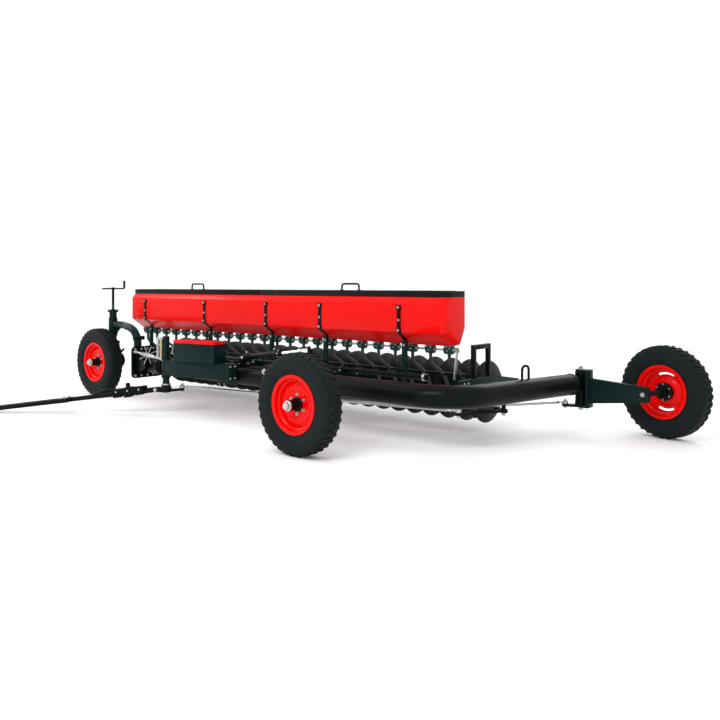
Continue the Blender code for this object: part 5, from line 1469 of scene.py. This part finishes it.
bolt(bm, Vector((CRANK_PIN.x, CRANK_PIN.y, LEVER_Z - 0.021)), (0, 0, -1), 0.046, 0.020)
for pin in (FRONT_PIN, REAR_PIN):
    bolt(bm, pin + Vector((0.0, 0.0, -LEVER_PLATE / 2)), (0, 0, -1), 0.030, 0.016)
piece("bell_crank_nuts", bm, ZINC, "steer_crank")
bm = bmesh.new()
for side in (-1, 1):
    bolt(bm, Vector((CRANK_PIN.x + side * 0.022, CRANK_PIN.y - 0.0402, 0.455)), (0, -1, 0),
         0.017, 0.008)
piece("crank_bracket_bolts", bm, ZINC, "frame")


def screwed_rod(name, start, end, radius, z, body, replaced):
    """Plated tube with a rod end, lock nut and bolt at each pin."""
    bm = bmesh.new()
    start, end = Vector((start.x, start.y, z)), Vector((end.x, end.y, z))
    line = (end - start).normalized()
    bar(bm, start + line * 0.115, end - line * 0.115, radius * 0.985, 28)
    for pin, way in ((start, line), (end, -line)):
        turn(bm, [(0.0, 0.026), (0.012, 0.026), (0.012, 0.125), (0.0, 0.125)], pin, way, 20)
        turn(bm, [(0.0, 0.080), (0.020, 0.080), (0.020, 0.096), (0.0, 0.096)], pin, way, 6)
        turn(bm, [(0.0125, -radius + 0.0008), (0.028, -radius + 0.0008), (0.031, -radius + 0.004),
                  (0.031, radius - 0.004), (0.028, radius - 0.001), (0.0125, radius - 0.001)],
             pin, (0, 0, 1), 30)
        bolt(bm, pin + Vector((0.0, 0.0, radius - 0.001)), (0, 0, 1), 0.030, 0.014)
    piece(name, bm, ZINC, body, [replaced])


screwed_rod("long_steering_rod", TOW_LEVER_PIN, FRONT_PIN, 0.019, 0.3193, "steer_link",
            "steering_rod")
screwed_rod("short_tie_rod", REAR_PIN, TIE_PIN, 0.016, 0.3163, "tie_link", "tie_rod")

# ---------------------------------------------------------------- hitch beam and post
# A rectangular hollow section runs from the tow post to a clamp on the main tube. The post turns
# in collars at the beam, with a plated guide tube and a return spring standing beside it.
POST = joint_place("tow_yaw")
BEAM_FOOT, BEAM_TOP = 0.475, 0.66
BEAM_WIDTH = 0.12
clamp_low, clamp_high = (Vector(corner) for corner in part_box("beam_clamp"))
CLAMP_PLATE = 0.02
post_flat = Vector((POST.x, POST.y))
beam_corner = Vector((clamp_high.x - CLAMP_PLATE - 0.0003, clamp_high.y - CLAMP_PLATE - 0.0003))
beam_reach = beam_corner - post_flat
beam_heading = math.atan2(beam_reach.y, beam_reach.x) - math.asin(
    BEAM_WIDTH / 2 / beam_reach.length)
beam_run = Vector((math.cos(beam_heading), math.sin(beam_heading)))
beam_side = Vector((-beam_run.y, beam_run.x))
beam_turn = Matrix.Rotation(beam_heading, 3, "Z").to_quaternion()


def by_beam(along, across, z):
    """A place measured from the post, along the hitch beam."""
    flat = post_flat + beam_run * along + beam_side * across
    return Vector((flat.x, flat.y, z))


bm = bmesh.new()
low_corner = beam_corner - Vector((0.0, BEAM_WIDTH / beam_run.x))
outline = [by_beam(0.0405, 0.06, 0.0), by_beam(0.0405, -0.06, 0.0), low_corner, beam_corner]
prism(bm, [(point[0], point[1]) for point in outline], BEAM_FOOT, BEAM_TOP, 0.007)
for z in (0.3305, BEAM_FOOT - 0.03, BEAM_TOP + 0.002):
    turn(bm, [(0.0405, z), (0.056, z), (0.056, z + 0.028), (0.0405, z + 0.028)],
         Vector((POST.x, POST.y, 0.0)), (0, 0, 1), 36)
for tall in (-1, 1):
    level = (BEAM_FOOT + BEAM_TOP) / 2 + tall * 0.085
    block(bm, by_beam(0.055, 0.0, level), (0.050, 0.105, 0.014), beam_turn)
piece("hitch_beam_section", bm, FRAME_GREEN, "frame", ["hitch_beam"])

bm = bmesh.new()
turn(bm, [(0.0, 0.3303), (0.037, 0.3303), (0.040, 0.334), (0.040, 0.932), (0.034, 0.9395),
          (0.0, 0.9395)], Vector((POST.x, POST.y, 0.0)), (0, 0, 1), 48)
piece("tow_post", bm, FRAME_GREEN, "frame", ["hitch_post"])
bm = bmesh.new()
LEFT_OF_POST = Vector((-0.763, -0.647, 0.0))
GUIDE_OUT, SPRING_OUT = 0.057, 0.097
post_axis = Vector((POST.x, POST.y, 0.0))
guide = post_axis + LEFT_OF_POST * GUIDE_OUT
bar(bm, guide + Vector((0.0, 0.0, 0.675)), guide + Vector((0.0, 0.0, 0.925)), 0.0160, 24)
piece("spring_guide", bm, YELLOW_ZINC, "frame")
bm = bmesh.new()
SPRING_TURNS = 13
SPRING_FOOT, SPRING_HEIGHT = 0.695, 0.215
COIL_RADIUS = 0.018
COIL_SIDES = 16
spring_middle = post_axis + LEFT_OF_POST * SPRING_OUT
coil = []
for step in range(COIL_SIDES * SPRING_TURNS + 1):
    angle = math.tau * step / COIL_SIDES
    level = SPRING_FOOT + SPRING_HEIGHT * step / (COIL_SIDES * SPRING_TURNS)
    coil.append(spring_middle + Vector((
        COIL_RADIUS * math.cos(angle), COIL_RADIUS * math.sin(angle), level)))
draw_tube(bm, coil, 0.0042, sides=8)
bar(bm, spring_middle + Vector((0.0, 0.0, 0.670)), spring_middle + Vector((0.0, 0.0, 0.935)),
    0.009, 16)
for z in (0.680, 0.916):
    link_plate(bm, Vector((POST.x, POST.y, z)), spring_middle + Vector((0.0, 0.0, z)), 0.044, 0.009,
               0.001)
turn(bm, [(0.0402, 0.3595), (0.052, 0.3595), (0.052, 0.374), (0.0402, 0.374)],
     Vector((POST.x, POST.y, 0.0)), (0, 0, 1), 36)
piece("post_spring", bm, ZINC, "frame")

bm = bmesh.new()
plate_y = clamp_high.y - CLAMP_PLATE / 2
block(bm, Vector(((clamp_low.x + clamp_high.x) / 2, plate_y, (clamp_low.z + clamp_high.z) / 2)),
      (clamp_high.x - clamp_low.x, CLAMP_PLATE, clamp_high.z - clamp_low.z), edge=0.003)
block(bm, Vector((clamp_high.x - CLAMP_PLATE / 2, (clamp_low.y + clamp_high.y) / 2,
                  (BEAM_FOOT + BEAM_TOP) / 2)),
      (CLAMP_PLATE, clamp_high.y - clamp_low.y, BEAM_TOP - BEAM_FOOT), edge=0.003)
piece("beam_clamp_plates", bm, FRAME_GREEN, "frame", ["beam_clamp"])
bm = bmesh.new()
clamp_routes = []
for x in (clamp_low.x + 0.035, clamp_low.x + 0.125):
    middle = Vector((x, DATUM.y + TUBE_Y, TUBE_Z))
    route = [middle + Vector((0.0, -0.150, TUBE_RADIUS + 0.0085))]
    for step in range(17):
        angle = math.pi / 2 - math.pi * step / 16
        route.append(middle + Vector((0.0, math.cos(angle), math.sin(angle))) *
                     (TUBE_RADIUS + 0.0085))
    route.append(middle + Vector((0.0, -0.150, -TUBE_RADIUS - 0.0085)))
    clamp_routes.append(route)
    bolt(bm, middle + Vector((0.0, -0.130, -TUBE_RADIUS - 0.0085)), (0, -1, 0), 0.024, 0.012)
for y in (clamp_low.y + 0.028, clamp_low.y + 0.095):
    for z in (BEAM_FOOT + 0.026, BEAM_TOP - 0.026):
        bolt(bm, Vector((clamp_high.x, y, z)), (1, 0, 0), 0.017, 0.009)
piece("beam_clamp_bolts", bm, ZINC, "frame")
bm = bmesh.new()
for route in clamp_routes:
    draw_tube(bm, route, 0.008, sides=12)
piece("beam_u_bolts", bm, FRAME_BLACK, "frame")

# ---------------------------------------------------------------- toolbox
# A folded sheet box stands on the hitch beam for shear bolts and spanners. Its lid turns down
# over the rim and is hinged along the back.
box_low, box_high = (Vector(corner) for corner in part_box("toolbox"))
lid_low, lid_high = (Vector(corner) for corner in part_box("toolbox_lid"))
TOOLBOX_LENGTH, TOOLBOX_WIDTH, TOOLBOX_START = 0.63, 0.20, 0.22
box_middle = TOOLBOX_START + TOOLBOX_LENGTH / 2
for name, low, high, level, material, body, slot_name, node in (
        ("toolbox_tray", box_low.z, box_high.z, box_high.z, FRAME_GREEN, "frame",
         "frame_green", "toolbox"),
        ("toolbox_cover", lid_low.z, lid_high.z, lid_low.z, HOPPER_RED, "tool_lid",
         "body_red", "toolbox_lid")):
    bm = bmesh.new()
    bmesh.ops.create_cube(bm, size=1.0)
    bmesh.ops.transform(bm, verts=bm.verts, matrix=Matrix.Translation(
        by_beam(box_middle, 0.0, (low + high) / 2)) @ beam_turn.to_matrix().to_4x4()
        @ Matrix.Diagonal((TOOLBOX_LENGTH, TOOLBOX_WIDTH, high - low, 1.0)))
    drop_faces(bm, level)
    folded_sheet(name, bm, 0.003, 0.004, material, body, [node])

bm = bmesh.new()
for along in (-0.20, 0.20):
    block(bm, by_beam(box_middle + along, 0.1015, lid_low.z + 0.015), (0.066, 0.003, 0.022),
          beam_turn, 0.001)
piece("toolbox_hinges", bm, ZINC, "tool_lid")
bm = bmesh.new()
loop = rounded([by_beam(TOOLBOX_START, -0.05, 0.845), by_beam(TOOLBOX_START - 0.045, -0.05, 0.845),
                by_beam(TOOLBOX_START - 0.075, -0.05, 0.740),
                by_beam(TOOLBOX_START, -0.05, 0.740)], 0.018, 6)
draw_tube(bm, loop, 0.0055, sides=12)
piece("toolbox_grab_handle", bm, ZINC, "frame")

# ---------------------------------------------------------------- turnbuckle
# A plated turnbuckle braces the post against the left end plate. A steel sleeve with right and
# left hand thread is turned by a wheel of eight spokes.
anchor = at(-1.7205, -0.60, 0.69)
far = Vector((POST.x, POST.y, 0.65))
line = (far - anchor).normalized()
reach = (far - anchor).length - 0.0425
bm = bmesh.new()
bar(bm, anchor, anchor + line * (reach * 0.34), 0.0125, 24)
bar(bm, anchor + line * (reach * 0.58), anchor + line * reach, 0.0125, 24)
bar(bm, anchor + line * (reach * 0.26), anchor + line * (reach * 0.66), 0.0215, 28, 0.004)
for share in (0.24, 0.68):
    turn(bm, [(0.0, -0.009), (0.021, -0.009), (0.021, 0.009), (0.0, 0.009)],
         anchor + line * (reach * share), line, 6)
hub = anchor + line * (reach * 0.46)
turn(bm, [(0.0216, -0.014), (0.030, -0.012), (0.030, 0.012), (0.0216, 0.014)], hub, line, 24)
spoke_side = line.orthogonal().normalized()
spoke_up = line.cross(spoke_side)
for index in range(8):
    angle = math.tau * (index + 0.5) / 8
    way = spoke_side * math.cos(angle) + spoke_up * math.sin(angle)
    bar(bm, hub + way * 0.024, hub + way * 0.115, 0.0052, 12)
flat_bar(bm, anchor - line * 0.002, anchor + line * 0.060, 0.030, 0.036, edge=0.004)
flat_bar(bm, anchor + line * (reach - 0.055), anchor + line * (reach - 0.002), 0.030, 0.034,
         edge=0.004)
bolt(bm, anchor + line * 0.036 + Vector((0.0, -0.0150, 0.0)), (0, -1, 0), 0.024, 0.012)
bolt(bm, anchor + line * (reach - 0.030) + Vector((0.0, -0.0150, 0.0)), (0, -1, 0), 0.024, 0.012)
piece("brace_turnbuckle", bm, ZINC, "frame", ["turnbuckle"])

# ---------------------------------------------------------------- tow clevis
# The clevis turns under the post and carries the steering lever. Its two cheeks hold the tow bar
# on a cross pin.
TOW_HINGE = joint_place("tow_pitch")
TOW_WIDTH, TOW_HEIGHT = 0.06, 0.06
heading = Vector((TOW_HINGE.x - POST.x, TOW_HINGE.y - POST.y, 0.0)).normalized()
tow_side = Vector((-heading.y, heading.x, 0.0))
clevis_low, clevis_high = (Vector(corner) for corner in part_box("tow_clevis"))
bm = bmesh.new()
turn(bm, [(0.0, clevis_low.z), (0.059, clevis_low.z), (0.065, clevis_low.z + 0.006),
          (0.065, clevis_high.z - 0.006), (0.059, clevis_high.z - 0.0004),
          (0.0, clevis_high.z - 0.0004)], Vector((POST.x, POST.y, 0.0)), (0, 0, 1), 44)
link_plate(bm, Vector((POST.x, POST.y, LEVER_Z)), TOW_LEVER_PIN, LEVER_WIDTH, LEVER_PLATE - 0.001)
cheek_z = (clevis_low.z + clevis_high.z) / 2
for side in (-1, 1):
    shift = tow_side * side * (TOW_WIDTH / 2 + 0.0063)
    foot = Vector((POST.x, POST.y, cheek_z)) + shift
    flat_bar(bm, foot + heading * 0.03, foot + heading * 0.135, 0.012, 0.055, edge=0.002)
    turn(bm, [(0.0, -0.006), (0.0275, -0.006), (0.0275, 0.006), (0.0, 0.006)],
         Vector((TOW_HINGE.x, TOW_HINGE.y, cheek_z)) + shift, tow_side, 28)
piece("tow_clevis_head", bm, FRAME_BLACK, "tow_head", ["tow_clevis"])
bm = bmesh.new()
for side in (-1, 1):
    bolt(bm, TOW_HINGE + tow_side * side * (TOW_WIDTH / 2 + 0.0125), tow_side * side, 0.030, 0.014)
bolt(bm, TOW_LEVER_PIN + Vector((0.0, 0.0, -LEVER_PLATE / 2)), (0, 0, -1), 0.030, 0.016)
bolt(bm, Vector((POST.x, POST.y, clevis_low.z)), (0, 0, -1), 0.046, 0.018)
piece("tow_clevis_bolts", bm, ZINC, "tow_head")

# ---------------------------------------------------------------- tow bar
# A square bar drops from the clevis to the ground through a locking joint of bolted plates. Its
# front half is a fork of two flat bars, joined by a cross plate at each end.
TOW_LENGTH = 2.20
droop = math.asin(TOW_HINGE.z / math.hypot(TOW_LENGTH, TOW_HEIGHT / 2)) - math.atan2(
    TOW_HEIGHT / 2, TOW_LENGTH)
tow_run = heading * math.cos(droop) - Vector((0.0, 0.0, math.sin(droop)))
tow_up = tow_run.cross(tow_side)


def by_tow(along, across=0.0, over=0.0):
    return TOW_HINGE + tow_run * along + tow_side * across + tow_up * over


bm = bmesh.new()
flat_bar(bm, by_tow(-0.033), by_tow(0.42), 0.058, 0.058, edge=0.006)
flat_bar(bm, by_tow(0.40), by_tow(1.15), 0.050, 0.050, edge=0.006)
for across in (-1, 1):
    flat_bar(bm, by_tow(1.06, across * 0.060), by_tow(2.17, across * 0.060), 0.038, 0.050,
             edge=0.005)
flat_bar(bm, by_tow(1.08), by_tow(1.20), 0.150, 0.052, edge=0.005)
flat_bar(bm, by_tow(2.08), by_tow(2.198), 0.156, 0.054, edge=0.006)
for along, tall in ((0.20, 0.096), (0.34, 0.118), (0.47, 0.100)):
    block(bm, by_tow(along, 0.0, 0.010), (0.100, 0.110, tall),
          along_line(Vector(), tow_run), 0.008)
for side in (-1, 1):
    block(bm, by_tow(0.33, side * 0.058, 0.030), (0.40, 0.018, 0.060),
          along_line(Vector(), tow_run), 0.005)
turn(bm, [(0.0, 0.0), (0.026, 0.0), (0.026, 0.040), (0.018, 0.052), (0.0, 0.052)],
     by_tow(0.34, 0.0, 0.068), tow_up, 20)
draw_tube(bm, rounded([by_tow(0.44, 0.036, 0.050), by_tow(0.60, 0.030, 0.075),
                       by_tow(0.76, 0.010, 0.028)], 0.06, 6), 0.012, sides=14)
piece("tow_drawbar", bm, FRAME_BLACK, "tow_pole", ["tow_bar"])
bm = bmesh.new()
for along in (0.19, 0.33, 0.47):
    for side in (-1, 1):
        bolt(bm, by_tow(along, side * 0.0672, 0.030), tow_side * side, 0.016, 0.008)
for along in (1.11, 1.17, 2.13):
    for side in (-1, 1):
        bolt(bm, by_tow(along, side * 0.055, 0.0265), tow_up, 0.022, 0.010)
piece("tow_drawbar_bolts", bm, ZINC, "tow_pole")
